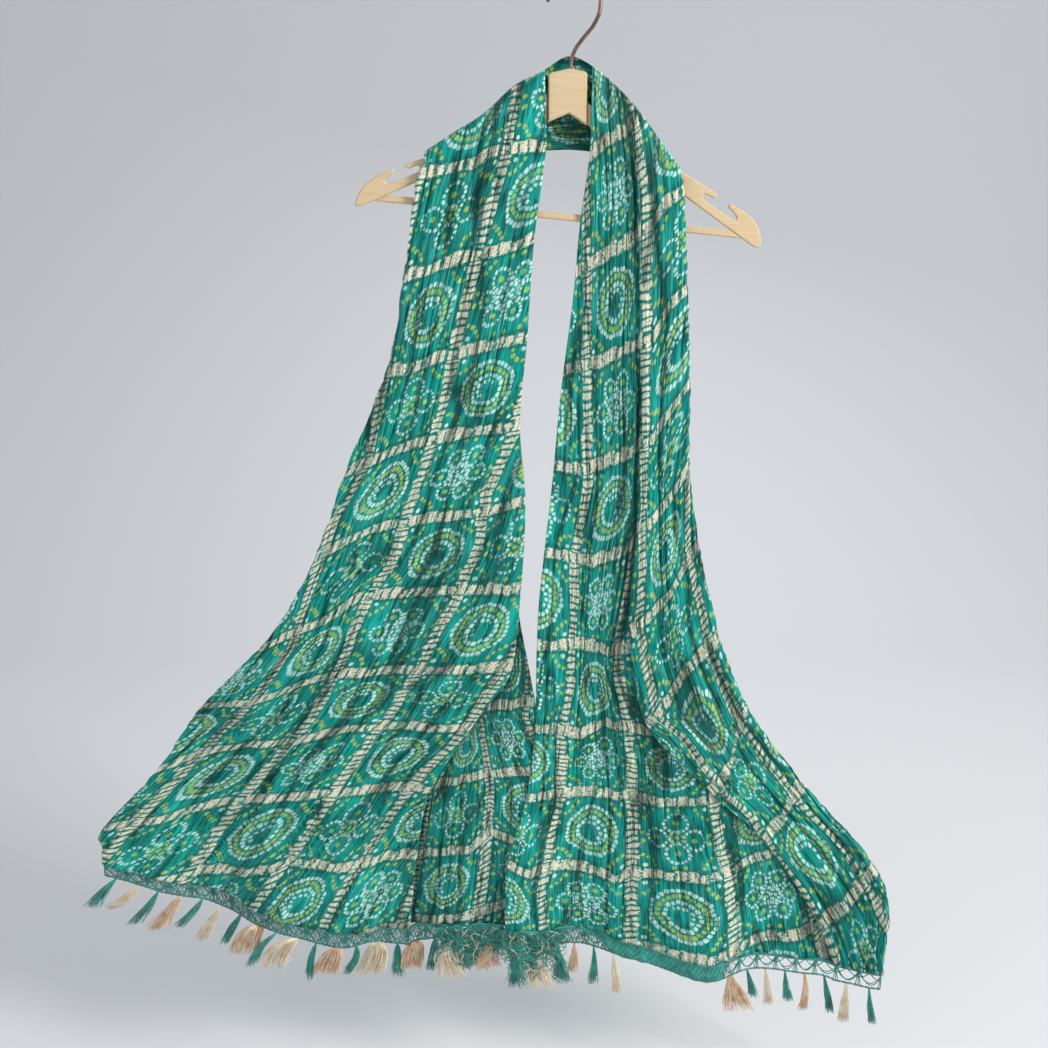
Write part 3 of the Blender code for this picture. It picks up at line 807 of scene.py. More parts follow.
@dataclass
class FallCloth:
    """One end of the stole, from the ridge over the hanger down to its hem.

    cuts has a row for each cut across the fall, in millimetres: the X and Z of the outer edge, of
    the middle of the front layer and of the knife fold, the X of the tuck behind it, and the X and
    Z of the inner edge.
    """

    name: str
    node: str
    cuts: tuple
    facing: int
    front_pleats: int
    back_pleats: int
    stand_off: float
    hem_sag: float
    front_print: PrintLines
    back_print: PrintLines
    row_shift: float
    creases: tuple[Crease, ...]
    columns_front: int
    columns_back: int
    # Strength of the painted shade on the back layer behind the fold.
    shade: float = 0.5
    rows: int = 140
    seed: float = 1.0
    wall: float = 0.5 * MM
    step: float = 2.1 * MM
    front_y: float = -10.3 * MM
    roll: float = 10.3 * MM
    turn_columns: int = 6
    under_columns: int = 10
    arch_rows: int = 9
    crush_height: float = 4.2 * MM
    edge_wander: float = 2.6 * MM

    def pleat_heights(self, count: int, q: np.ndarray) -> np.ndarray:
        """Work out pleats: three places to a pleat, eased between, 0 at the ends.

        Args:
            count: Number of pleats.
            q: Places across the layer, from 0 to 1.

        Returns:
            The heights, from 0 to 1.
        """
        k = np.arange(count)
        tops = 0.62 + 0.28 * np.sin(2.4 * k + 0.7) + 0.10 * np.sin(5.1 * k)
        high = np.append(np.outer(tops, (0.0, 1.0, 0.5)).ravel(), 0.0)
        at = q * 3 * count
        i = np.clip(np.floor(at).astype(int), 0, 3 * count - 1)
        return high[i] + (high[i + 1] - high[i]) * eased(at - i)

    def section(self, place: float) -> dict[str, np.ndarray]:
        """Work out one cut across the fall.

        The front layer is a parabola through outer edge, middle and fold. Half circles turn it
        back under the fold and out again at the tuck.

        Args:
            place: The cut's place in the table, whole at a row.

        Returns:
            The x, y and z of each column.
        """
        names = "outer_x outer_z mid_x mid_z fold_x fold_z tuck_x inner_x inner_z".split()
        table = np.array(self.cuts, float) * MM
        knots = np.arange(len(table))
        c = {n: curve_through(knots, table[:, i], place) for i, n in enumerate(names)}
        below = eased((-0.27 - c["fold_z"]) / 0.2)
        gap = self.step + self.stand_off * below
        q = np.linspace(0.0, 1.0, self.columns_front)
        far, middle, near = (1 - q) * (1 - 2 * q), 4 * q * (1 - q), q * (2 * q - 1)
        front_x = far * c["outer_x"] + middle * c["mid_x"] + near * c["fold_x"]
        front_z = far * c["outer_z"] + middle * c["mid_z"] + near * c["fold_z"]
        opened = eased((-0.60 - c["fold_z"]) / 0.4)
        depth = (1.9 + 2.5 * opened) * MM * (0.4 + 0.6 * below)
        front_y = self.front_y - self.pleat_heights(self.front_pleats, q) * depth
        turns = np.radians(np.linspace(-67.5, 67.5, self.turn_columns))
        half, behind = self.step / 2, gap / 2
        slope = (c["mid_z"] - c["fold_z"]) / (c["mid_x"] - c["fold_x"])
        tuck_z = c["fold_z"] + slope * (c["tuck_x"] - c["fold_x"])
        under = np.linspace(0.0, 1.0, self.under_columns)
        b = np.linspace(0.0, 1.0, self.columns_back)
        hem = eased((place - knots[-1] + 2) / 2)
        back_z = tuck_z + (c["inner_z"] - tuck_z) * b - self.hem_sag * hem * np.sin(np.pi * b)
        back_pleats = self.pleat_heights(self.back_pleats, b)
        back_y = self.front_y + self.step + gap + back_pleats * below * 2.2 * MM
        return {
            "x": np.concatenate((
                front_x,
                c["fold_x"] + self.facing * half * np.cos(turns),
                c["fold_x"] + (c["tuck_x"] - c["fold_x"]) * under,
                c["tuck_x"] - self.facing * behind * np.cos(turns),
                c["tuck_x"] + (c["inner_x"] - c["tuck_x"]) * b,
            )),
            "y": np.concatenate((
                front_y,
                self.front_y + half * (1 + np.sin(turns)),
                np.full(self.under_columns, self.front_y + self.step),
                self.front_y + self.step + behind * (1 + np.sin(turns)),
                back_y,
            )),
            "z": np.concatenate((
                front_z,
                np.full(self.turn_columns, c["fold_z"]),
                c["fold_z"] + (tuck_z - c["fold_z"]) * under,
                np.full(self.turn_columns, tuck_z),
                back_z,
            )),
        }

    def surface(self) -> np.ndarray:
        """Work out the cloth's middle surface, before its crush.

        Its first rows arch over the hanger, the next ease into the first cut, and the rest follow
        the cuts down to the hem.

        Returns:
            Rows of points from the ridge to the hem.
        """
        top = self.section(0.0)
        ridge = np.array(NECK_RIDGE, float) * MM
        top["z"] = curve_through(ridge[:, 0], ridge[:, 1], top["x"])
        rows = []
        for angle in np.radians(np.linspace(0.9, 88.0, self.arch_rows)):
            depth = top["y"] - self.front_y
            centre = ridge_centre_y(top["x"])
            y = centre + (top["y"] - centre) * math.sin(angle)
            lower = depth * min(1.0, angle / 0.7)
            z = top["z"] - lower - (self.roll - depth) * (1 - math.cos(angle))
            rows.append(np.column_stack((top["x"], y, z)))
        first = self.section(1.0)
        start = np.column_stack((first["x"], first["y"], first["z"]))
        for share in np.linspace(0.0, 1.0, self.arch_rows)[1:-1]:
            rows.append(rows[self.arch_rows - 1] * (1 - share) + start * share)
        lengths = np.array([c[3] for c in self.cuts], float)[1:]
        travelled = np.concatenate(((0.0,), np.cumsum(np.abs(np.diff(lengths)) + 8.0)))
        even = np.linspace(0.0, travelled[-1], self.rows)
        places = np.interp(even, travelled, np.arange(1, len(self.cuts)))
        for place in places:
            cut = self.section(place)
            y = cut["y"] + hanging_wave(cut["x"], cut["z"])
            rows.append(np.column_stack((cut["x"], y, cut["z"])))
        return np.array(rows)

    def cloth_coordinates(self, points: np.ndarray) -> np.ndarray:
        """Find the print's place at each point; each layer has its own printed lines.

        Args:
            points: The surface's points.

        Returns:
            The cloth coordinates, in printed squares.
        """
        x, z = points[..., 0], points[..., 2]
        front = self.front_print.coordinates(x, z)
        back = self.back_print.coordinates(x, z)
        layer = np.zeros(points.shape[1])
        layer[self.columns_front + self.turn_columns :] = 1.0
        mixed = front * (1 - layer[:, None]) + back * layer[:, None]
        mixed[..., 1] += self.row_shift
        return mixed

    def build(self, finish: Material) -> Piece:
        """Build the fall: surface, print coordinates, crush pleats, creases and cloth wall, with painted
        shade in the creases and behind the fold.

        Args:
            finish: Its material.

        Returns:
            The piece.
        """
        points = self.surface()
        uv = self.cloth_coordinates(points)
        high, crease_shade, shift = crush(uv, self.seed)
        uv[..., 0] += shift
        behind_start = self.columns_front + self.turn_columns + self.under_columns
        hidden = np.ones(points.shape[1])
        hidden[self.columns_front : behind_start + self.turn_columns] = 0.15
        rise = high * self.crush_height * hidden
        x, z = points[..., 0], points[..., 2]
        trough = sum((c.relief(x, z) for c in self.creases), np.zeros_like(x))
        front = (np.arange(points.shape[1]) < self.columns_front).astype(float)
        # Painted shade in the troughs of the listed creases, on the front layer only.
        crease_shade = crease_shade + 0.75 * np.clip(trough / (3.0 * MM), 0, 1) ** 2 * front
        points[..., 1] += -rise + trough * front
        edge = value_noise(points[:, :1, 2] * 160.0, points[:, :1, 2] * 0.0, self.seed + 5)
        blend = np.exp(-np.arange(points.shape[1]) / 6.0)[None, :]
        points[..., 0] += (edge - 0.5) * self.edge_wander * blend
        # Painted shade on the back layer behind the fold: darkest just past it, fading over about 12 mm and
        # 55 mm.
        fold_x = x[:, self.columns_front - 1 : self.columns_front]
        past = np.maximum((x - fold_x) * self.facing, 0.0)
        behind = np.arange(points.shape[1]) >= behind_start
        under = self.shade * (0.9 * np.exp(-past / (12 * MM)) + 0.5 * np.exp(-past / (55 * MM))) * behind
        crease_shade = np.clip(crease_shade + under, 0, 1.1)
        made = make_piece(
            self.name, points, grid_faces(*points.shape[:2]), finish, uv, {"crease_shade": crease_shade}
        )
        give_wall(made, self.wall)
        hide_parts(self.node)
        return made


def crush(uv: np.ndarray, seed: float) -> tuple[np.ndarray, np.ndarray, np.ndarray]:
    """Work out the crush pleats and the painted shade in their creases.

    Two layers of noise, drawn out along the cloth, are folded at their middle value. The folds are
    sharp valleys that wander down the cloth, about 8 mm and 4 mm apart, and each takes a little of
    the print in with it.

    Args:
        uv: Places on the cloth, in printed squares.
        seed: Sets where the folds fall.

    Returns:
        The pleats' height from 0 to 1, the painted shade that each place takes in the creases from 0
        to 1, and the shift of the print across the cloth.
    """
    across = uv[..., 0] * PRINT_CELL / (11.0 * MM)
    along = uv[..., 1] * PRINT_CELL / (190.0 * MM)
    drift = value_noise(across * 0.35, along * 1.7, seed) * 1.3
    first = 2 * value_noise(across + drift, along, seed + 1) - 1
    second = 2 * value_noise(across * 1.9 + drift, along * 1.8, seed + 2) - 1
    broad, fine = np.abs(first), np.abs(second)
    high = 0.72 * broad**0.6 + 0.28 * fine
    crease_shade = np.clip(1 - broad / 0.20, 0, 1) * 0.95 + np.clip(1 - fine / 0.14, 0, 1) * 0.45
    shift = 0.015 * np.sign(first) * np.clip(1 - broad / 0.6, 0, 1)
    return high, np.clip(crease_shade, 0, 1), shift


def hanging_wave(x: np.ndarray, z: np.ndarray) -> np.ndarray:
    """Work out the waves that open towards the hem: two sine waves across the cloth.

    Args:
        x: X of each place.
        z: Z of each place.

    Returns:
        How far back each place lies.
    """
    share = np.clip((-0.50 - z) / 0.62, 0.0, 1.0) ** 1.5
    wide, narrow = np.sin(math.tau * x / 0.235 + 0.6), np.sin(math.tau * x / 0.108 + 1.0)
    return share * (19 * MM * wide + 6 * MM * narrow)


def ridge_centre_y(x: np.ndarray) -> np.ndarray:
    """Return the middle of the roll over the hanger: behind the block at the neck, else 0."""
    off = np.abs(x + 6.0 * MM) - 24.0 * MM
    return 6.3 * MM * (1.0 - eased(off / (45.0 * MM)))


@dataclass
class NeckCloth:
    """The stretch behind the neck, from the rolled ridge to the lower edge.

    ridge has the X, the top's Z and the lower edge's Z along the neck, in millimetres.
    """

    ridge: tuple
    back_y: float = 10.3 * MM
    roll: float = 10.3 * MM
    wall: float = 0.5 * MM

    def build(self, finish: Material) -> Piece:
        """Build the stretch with folds that run round the neck, and painted shade below the block.

        Args:
            finish: Its material.

        Returns:
            The piece.
        """
        table = np.array(self.ridge, float) * MM
        x = np.linspace(table[0, 0], table[-1, 0], 150)
        top = curve_through(table[:, 0], table[:, 1], x)
        bottom = curve_through(table[:, 0], table[:, 2], x)
        centre = ridge_centre_y(x)
        rows = []
        for angle in np.radians(np.linspace(0.9, 88.0, 10)):
            y = centre + (self.back_y - centre) * math.sin(angle)
            rows.append(np.column_stack((x, y, top - self.roll * (1 - math.cos(angle)))))
        for share in np.linspace(0.0, 1.0, 50)[1:]:
            z = top - self.roll + (bottom - top + self.roll) * share
            folds = 1 + np.sin(9.0 * share + 14.0 * x)
            y = self.back_y + 1.5 * MM * folds * np.sin(np.pi * share * 0.9)
            rows.append(np.column_stack((x, y, z)))
        points = np.array(rows)
        across = 0.13 + (points[..., 2] - bottom) / (PRINT_CELL * 1.12)
        along = -0.8 - 2.9 * (points[..., 0] - x[0]) / (x[-1] - x[0])
        uv = np.stack((across, along), axis=-1)
        high, crease_shade, shift = crush(uv, 9.0)
        uv[..., 0] += shift
        points[..., 1] += high * 1.2 * MM * eased((top - points[..., 2]) / 0.01)
        # Painted shade on the neck stretch below the block, from 22 mm under the ridge's top, centred near
        # the neck's middle.
        below = eased((top - 22 * MM - points[..., 2]) / 0.02)
        crease_shade = crease_shade + 0.55 * below * np.exp(-(((points[..., 0] + 2 * MM) / (34 * MM)) ** 2))
        faces = grid_faces(*points.shape[:2])[:, ::-1]
        made = make_piece("stole_neck", points, faces, finish, uv, {"crease_shade": crease_shade})
        give_wall(made, self.wall)
        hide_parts("back_neck")
        return made


def tubes(paths: np.ndarray, radii: np.ndarray, sides: int) -> tuple[np.ndarray, np.ndarray]:
    """Sweep a ring of points along each of many paths, and close the ends.

    Args:
        paths: Points of each path, as an array of paths by points by 3.
        radii: The radius at each point.
        sides: Points in a ring.

    Returns:
        All points, and the faces as quads; the end caps use three or four of their corners.
    """
    count, length = paths.shape[:2]
    tangent = np.gradient(paths, axis=1)
    tangent /= np.linalg.norm(tangent, axis=2, keepdims=True) + 1e-12
    guide = np.where(np.abs(tangent[..., 1:2]) > 0.9, (1.0, 0.0, 0.0), (0.0, 1.0, 0.0))
    across = np.cross(tangent, guide)
    across /= np.linalg.norm(across, axis=2, keepdims=True) + 1e-12
    other = np.cross(tangent, across)
    turn = np.arange(sides) * math.tau / sides
    ring = across[:, :, None, :] * np.cos(turn)[:, None] + other[:, :, None, :] * np.sin(turn)[:, None]
    points = paths[:, :, None, :] + ring * radii[:, :, None, None]
    one = grid_faces(length, sides, wrap=True)
    offset = np.arange(count)[:, None, None] * length * sides
    walls = (one[None] + offset).reshape(-1, 4)
    order = np.arange(sides)
    caps = np.concatenate((order, order[::-1] + (length - 1) * sides)).reshape(2, sides)
    caps = (caps[None] + offset).reshape(-1, sides)
    return points.reshape(-1, 3), walls, caps


@dataclass
class HemTrim:
    """A net trim along a hem with its tassels, all of spun thread.

    slants gives the tassels' lean at places along X in millimetres. folded_up, dense, broad and
    tangle are stretches along X in metres: where the net is folded up on itself, where fine threads
    fill it, where tassels fan out, and where they tangle.
    """

    side: str
    fall: FallCloth
    start: float
    stop: float
    slants: tuple
    folded_up: tuple[float, float] | None
    dense: tuple[float, float]
    broad: tuple[float, float]
    tangle: tuple[float, float]
    seed: int
    pitch: float = 23.5 * MM
    depth: float = 22.0 * MM
    thread: float = 0.62 * MM
    fine_thread: float = 0.34 * MM
    mesh_step: float = 1.5 * MM
    tassel_length: float = 50.0 * MM
    crumple: float = 0.10
    strands: int = 64
    strand_radius: float = 0.38 * MM

    def hem(self, x: np.ndarray) -> np.ndarray:
        """Find the hem's edge on the layer that shows.

        Args:
            x: Places along X.

        Returns:
            A point for each place.
        """
        cut = self.fall.section(len(self.fall.cuts) - 1)
        front = self.fall.columns_front
        count = len(cut["x"]) - self.fall.columns_back
        fold_x = self.fall.cuts[-1][4] * MM
        order = np.argsort(cut["x"][:front])
        front_z = np.interp(x, cut["x"][:front][order], cut["z"][:front][order])
        order = np.argsort(cut["x"][count:])
        back_z = np.interp(x, cut["x"][count:][order], cut["z"][count:][order])
        past = (x - fold_x) * self.fall.facing
        fold_z = self.fall.cuts[-1][5] * MM
        back_z = back_z + (np.minimum(back_z, fold_z) - back_z) * (1 - eased(past / (4 * MM)))
        z = np.where(past < 0, front_z, back_z)
        gap = 2 * self.fall.step + self.fall.stand_off
        y = self.fall.front_y + gap * eased(past / (15 * MM)) + hanging_wave(x, z)
        return np.stack((x, y, z), axis=-1)

    def drop(self, x: np.ndarray) -> np.ndarray:
        """Return the net's depth along the hem, less where it is crumpled: noise 30 mm long."""
        return self.depth * (1.05 - self.crumple * value_noise(x / 0.030, 0 * x, self.seed))

    def strings(self) -> list[np.ndarray]:
        """Lay out the net's threads: scallops, a doubled rail and its ties.

        Returns:
            The threads' routes.
        """
        count = int(round((self.stop - self.start) / self.pitch))
        step = (self.stop - self.start) / count
        routes = []
        t = np.linspace(0.0, 1.0, 13)
        for layer, (dip, shift) in enumerate(((0.62, 0.0), (0.70, 0.06), (0.40, 0.5))):
            for k in range(count):
                x = self.start + step * (k + shift + t)
                points = self.hem(np.clip(x, self.start, self.stop))
                sag = dip * self.drop(x) * (1 - (2 * t - 1) ** 2) * (0.92 + 0.16 * hashed(k, layer, 3.0))
                points[:, 2] -= 2.0 * MM + sag
                points[:, 1] += (layer - 1) * 0.9 * MM
                routes.append(points)
        for layer in (0, 1):
            for k in range(count):
                x = self.start + step * (k + t)
                points = self.hem(x)
                wind = np.sin(t * math.tau * 2 + math.pi * layer)
                points[:, 2] -= self.drop(x) - 1.0 * MM + 0.9 * MM * wind
                points[:, 1] += 0.7 * MM * np.cos(t * math.tau * 2 + math.pi * layer)
                routes.append(points)
        for k in range(count + 1):
            for lean in (-0.10, 0.02, 0.12):
                x = self.start + step * k + step * lean * t
                points = self.hem(np.clip(x, self.start, self.stop))
                points[:, 2] -= 1.0 * MM + (self.drop(x) - 1.5 * MM) * t
                points[:, 1] += 0.5 * MM * np.sin(9 * t + k)
                routes.append(points)
        return routes

    def mesh_threads(self) -> list[np.ndarray]:
        """Lay out the fine threads that fill the net where it is bunched.

        Returns:
            The threads' routes.
        """
        first, last = self.dense
        t = np.linspace(0.0, 1.0, 7)
        routes = []
        for k in range(int((last - first) / self.mesh_step)):
            for way in (-1, 1):
                lean = way * (5.0 + 4.0 * hashed(k, way, 6.0)) * MM
                x = np.clip(first + self.mesh_step * k + lean * t, self.start, self.stop)
                points = self.hem(x)
                points[:, 2] -= 1.0 * MM + (self.drop(x) - 1.5 * MM) * t
                points[:, 1] += way * 0.8 * MM + 0.8 * MM * np.sin(7 * t + 1.7 * k)
                routes.append(points)
        return routes

    def build(self, thread: Material, tints: tuple[Material, ...]) -> list[Piece]:
        """Build the tape, the net and the tassels.

        Args:
            thread: The net's thread.
            tints: The tassels' threads, in the order in which they repeat.

        Returns:
            The pieces.
        """
        pieces = [self.tape(thread), self.net(thread), *self.tassels(tints)]
        pieces += self.loose_threads((thread, tints[0], tints[1]))
        if self.folded_up:
            pieces.append(self.roll(tints[0]))
        return pieces

    def loose_threads(self, finishes: tuple[Material, ...]) -> list[Piece]:
        """Build the tangle of loose net thread that hangs where both ends of the stole meet.

        Each thread starts under the hem and drops along two sine waves of its own.

        Args:
            finishes: A thread for each bunch.

        Returns:
            One piece for each bunch.
        """
        rng = np.random.default_rng(self.seed + 40)
        t = np.linspace(0.0, 1.0, 14)
        first, last = np.clip(self.tangle, self.start, self.stop)
        made = []
        for number, (finish, count) in enumerate(zip(finishes, (150, 90, 26))):
            x = rng.uniform(first, last, (count, 1))
            turns, phases = rng.uniform(0.7, 2.6, (2, count, 1)), rng.uniform(0, math.tau, (2, count, 1))
            middle = 1 - np.abs(2 * (x - first) / (last - first) - 1) ** 2 * 0.4
            length = rng.uniform(0.4, 1.0, (count, 1)) * 64 * MM * middle
            base = self.hem(np.clip(x, self.start, self.stop).ravel())
            wide = rng.uniform(3.0, 11.0, (count, 1)) * MM
            dx = wide * (np.sin(math.tau * turns[0] * t + phases[0]) - np.sin(phases[0]))
            dy = 3.2 * MM * np.sin(math.tau * turns[1] * t + phases[1])
            dz = -2.0 * MM - length * t + 0.35 * wide * np.sin(math.tau * turns[1] * t)
            paths = base[:, None, :] + np.stack((dx, dy, dz), axis=-1)
            points, walls, caps = tubes(paths, np.full(paths.shape[:2], 0.42 * MM), 4)
            faces = walls.tolist() + caps.tolist()
            name = f"{self.side}_loose_threads_{number + 1}"
            made.append(make_piece(name, points, faces, finish))
        return made

    def tape(self, thread: Material) -> Piece:
        """Build the overlocked tape along the hem: a narrow band with slanted stitches on it.

        Args:
            thread: Its material.

        Returns:
            The piece.
        """
        x = np.linspace(self.start, self.stop, 420)
        stitch = 0.35 * MM * np.abs(np.sin(x * math.pi / (2.2 * MM)))
        drops = np.linspace(1.6 * MM, -3.6 * MM, 6)[None, :] + 0 * x[:, None]
        return self.strip("hem_tape", x, drops, 1.3 * MM, stitch[:, None], thread)

    def roll(self, thread: Material) -> Piece:
        """Build the stretch where the net is folded up on itself: a flat roll, lumpy with noise.

        Args:
            thread: Its material.

        Returns:
            The piece.
        """
        x = np.linspace(self.folded_up[0] - 0.05, self.folded_up[1] + 0.004, 260)
        ends = eased((x - x[0]) / 0.05) * eased((x[-1] - x) / 0.006)
        uneven = 2.4 * MM * (value_noise(x * 130.0, 0 * x, 4.0) - 0.5)
        foot = self.depth * (0.55 + 0.45 * ends) + uneven
        share = np.linspace(0.0, 1.0, 14)
        drops = -2.6 * MM - (foot[:, None] - 2.6 * MM) * share * (0.35 + 0.65 * ends[:, None])
        lumps = 1.0 * MM * value_noise(x[:, None] * 330.0, share * 7.0, 2.0)
        return self.strip("net_roll", x, drops, 0.1 * MM, lumps, thread)

    def strip(
        self, name: str, x: np.ndarray, drops: np.ndarray, bulge: float, relief: np.ndarray,
        thread: Material,
    ) -> Piece:
        """Build a closed strip along the hem, whose section is a lens with some relief.

        Args:
            name: The piece's name after its side.
            x: Places along the hem.
            drops: Heights from the hem of each place's rows.
            bulge: How far the lens swells from the hem's surface.
            relief: What is added to the swelling.
            thread: Its material.

        Returns:
            The piece.
        """
        columns = drops.shape[1]
        base = np.repeat(self.hem(x)[:, None, :], columns, axis=1)
        base[..., 2] += drops
        swell = (bulge + relief) * np.sin(np.linspace(0.0, np.pi, columns)) + 0.5 * MM
        front, back = base.copy(), base.copy()
        front[..., 1] -= swell
        back[..., 1] += swell
        rows = np.concatenate((front, back[:, ::-1]), axis=1)
        points, around = rows.reshape(-1, 3), 2 * columns
        faces = grid_faces(len(x), around, wrap=True).tolist()
        faces.append(list(range(around)))
        faces.append(list(range(len(points) - 1, len(points) - around - 1, -1)))
        return make_piece(f"{self.side}_{name}", points, faces, thread)

    def net(self, thread: Material) -> Piece:
        """Build the open net of knotted thread.

        Args:
            thread: Its material.

        Returns:
            The piece.
        """
        paths = np.array(self.strings())
        points, walls, caps = tubes(paths, np.full(paths.shape[:2], self.thread), 5)
        fine = np.array(self.mesh_threads())
        more, more_walls, more_caps = tubes(fine, np.full(fine.shape[:2], self.fine_thread), 4)
        faces = walls.tolist() + caps.tolist()
        faces += (more_walls + len(points)).tolist() + (more_caps + len(points)).tolist()
        points = np.concatenate((points, more))
        made = make_piece(f"{self.side}_net", points, faces, thread)
        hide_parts(f"{self.side}_trim")
        return made

    def tassels(self, tints: tuple[Material, ...]) -> list[Piece]:
        """Build the tassels: each is a bunch of strands that hangs in a few locks and curls.

        Args:
            tints: The threads, in the order in which they repeat.

        Returns:
            One piece for each thread.
        """
        rng = np.random.default_rng(self.seed)
        count = int(round((self.stop - self.start) / self.pitch))
        step = (self.stop - self.start) / count
        places, shares = zip(*self.slants)
        t = np.linspace(0.0, 1.0, 8)
        left = self.side == "left"
        bundles: list[list[np.ndarray]] = [[] for _ in tints]
        for k in range(count):
            x = self.start + step * (k + 0.5)
            if self.folded_up and self.folded_up[0] < x < self.folded_up[1]:
                continue
            root = self.hem(np.array([x]))[0]
            root[2] -= self.drop(np.array([x]))[0]
            stray = rng.normal(0, 0.12 if left else 0.05)
            slant = np.interp(x, np.array(places) * MM, shares) + stray
            length = self.tassel_length * rng.uniform(0.80, 1.14)
            tint = k % len(tints)
            pale = tint % 2 == 1
            broad = self.broad[0] < x < self.broad[1]
            messy = self.tangle[0] < x < self.tangle[1]
            loose = left and not broad
            width = 15.5 if broad and pale else 6.0 if pale else 4.8
            half = width * MM * rng.uniform(0.85, 1.15)
            fullness = 2.9 if broad and pale else 1.4 if pale else 1.2
            strands = int(self.strands * fullness * (1.5 if messy else 1.0))
            side = rng.uniform(-1, 1, (strands, 2)) * half
            parting = 0.16 if messy else 0.09 if loose else 0.035
            locks = rng.normal(0, 1, (4, 2)) * parting
            curliness = 6.0 if messy else 2.6 if loose and pale else 1.3
            curl = rng.normal(0, 1, (strands, 2)) * curliness * MM
            ends = rng.uniform(0.80 if broad else 0.88, 1.04, strands)
            bow = rng.normal(0, 1) * (3.0 if left else 1.2) * MM
            for s, c, e, lock in zip(side, curl, ends, rng.integers(0, 4, strands)):
                reach = length * e * t
                bend = np.sin(t * np.pi * rng.uniform(0.8, 1.7)) * t
                spread = 0.16 + 0.84 * (1 - np.exp(-5.0 * t) if left else t**0.9)
                dx = slant * reach + s[0] * spread + locks[lock, 0] * length * t**1.5 + c[0] * bend
                dy = s[1] * spread * 0.30 + locks[lock, 1] * length * 0.35 * t**1.5 + 0.35 * c[1] * bend
                dz = -reach * (1 - 0.28 * abs(slant))
                path = root + np.stack((dx + bow * np.sin(np.pi * t), dy, dz), -1)
                bundles[tint].append(path)
        made = []
        for number, (paths, tint) in enumerate(zip(bundles, tints)):
            if not paths:
                continue
            paths = np.array(paths)
            radii = self.strand_radius * np.interp(t, (0, 0.1, 0.8, 1), (1.0, 1.0, 0.9, 0.45))
            points, walls, caps = tubes(paths, np.tile(radii, (len(paths), 1)), 3)
            faces = walls.tolist() + caps.tolist()
            name = f"{self.side}_tassels_{number + 1}"
            made.append(make_piece(name, points, faces, tint))
        return made


@dataclass
class Hanger:
    """The hanger: its boards and block keep the solids' own shape, and its hook is a finer tube."""

    wire: float = 2.0 * MM
    hook_radius: float = 27.0 * MM
    boards: tuple[str, ...] = ("hanger_left_arm", "hanger_right_arm", "hanger_block", "hanger_crossbar")

    def hook(self, steel: Material) -> Piece:
        """Build the hook: a shank that leans out of the block, then an arch with a round tip.

        Args:
            steel: Its material.

        Returns:
            The hook.
        """
        shank = (
            (-3.0, -95.5), (-2.6, -90), (-1.8, -84), (2, -75), (7.5, -67.5), (13, -61),
            (18.5, -54.5), (22.5, -48), (25.6, -41), (26.7, -34),
        )
        angles = np.radians(np.linspace(-10, 192, 45))
        arch = np.column_stack((np.cos(angles), np.sin(angles))) * self.hook_radius
        arch[:, 1] -= 25.0 * MM
        route = np.concatenate((np.array(shank) * MM, arch[2:]))
        steps = np.linalg.norm(np.diff(route, axis=0), axis=1)
        travelled = np.concatenate(((0.0,), np.cumsum(steps)))
        at = np.linspace(0.0, travelled[-1], 110)
        x = curve_through(travelled, route[:, 0], at)
        z = curve_through(travelled, route[:, 1], at)
        left = np.clip((travelled[-1] - at) / self.wire, 0, 1)
        radius = self.wire * np.sqrt(np.clip(1 - (1 - left) ** 2, 0.02, 1))
        path = np.stack((x, 0 * x, z), -1)[None]
        points, walls, caps = tubes(path, radius[None], 14)
        made = make_piece("wire_hook", points, walls.tolist() + caps.tolist(), steel)
        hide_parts("hanger_hook")
        return made

    def build(self, wood: Material, steel: Material) -> None:
        """Dress the boards and the block, and build the hook.

        Args:
            wood: The boards' material.
            steel: The hook's material.
        """
        for name in self.boards:
            board = bpy.data.objects[name]
            board.data.materials.clear()
            board.data.materials.append(wood)
        self.hook(steel)


LEFT_CUTS = (
    (-155, -177, -95, -138, -31, -97, -70, -35, -99),
    (-163, -201, -95, -180, -29, -168, -70, -34, -170),
    (-180, -308, -108, -290, -42, -269, -90, -47, -272),
    (-200, -403, -127, -384, -49, -370, -100, -55, -373),
    (-247, -514, -150, -478, -57, -465, -110, -63, -468),
    (-283, -608, -172, -574, -51, -552, -110, -58, -556),
    (-334, -700, -195, -658, -56, -652, -112, -60, -660),
    (-425, -797, -255, -756, -68, -752, -118, -44, -758),
    (-478, -870, -296, -833, -104, -806, -136, -38, -806),
    (-546, -944, -368, -908, -161, -899, -178, -44, -892),
    (-550, -967, -368, -980, -180, -985, -190, -46, -985),
    (-550, -989, -367, -1057, -193, -1096, -201, -44, -1072),
)
RIGHT_CUTS = (
    (112, -194, 92, -167, 66, -134, 76, 19, -92),
    (115, -207, 92, -181, 64, -153, 76, 18, -170),
    (118, -236, 97, -250, 71, -264, 86, 8, -250),
    (124, -326, 100, -350, 74, -374, 92, 1, -330),
    (129, -425, 104, -456, 77, -487, 97, -12, -438),
    (132, -517, 106, -552, 76, -584, 97, -20, -530),
    (147, -612, 111, -656, 70, -703, 96, -35, -680),
    (178, -729, 138, -770, 92, -818, 116, -39, -818),
    (216, -810, 194, -853, 168, -898, 186, -48, -902),
    (283, -900, 262, -935, 240, -975, 253, -70, -985),
    (374, -1010, 336, -1040, 300, -1066, 311, -74, -1035),
    (380, -1128, 356, -1132, 330, -1135, 338, -74, -1074),
)
NECK_RIDGE = (
    (-155, -177, -203), (-128, -160, -192), (-92, -138, -182), (-61, -111, -178),
    (-31, -96, -176), (-4, -82, -175), (20, -92, -177), (45, -112, -181), (66, -134, -187),
    (92, -167, -203), (112, -194, -219),
)

# The photo's scale for the readings below: its middle and its lens in pixels, and the level distance
# from the camera to the front of the cloth in metres.
PHOTO_MIDDLE = 524
LENS_PIXELS = 1300.0
CLOTH_DISTANCE = 1.409


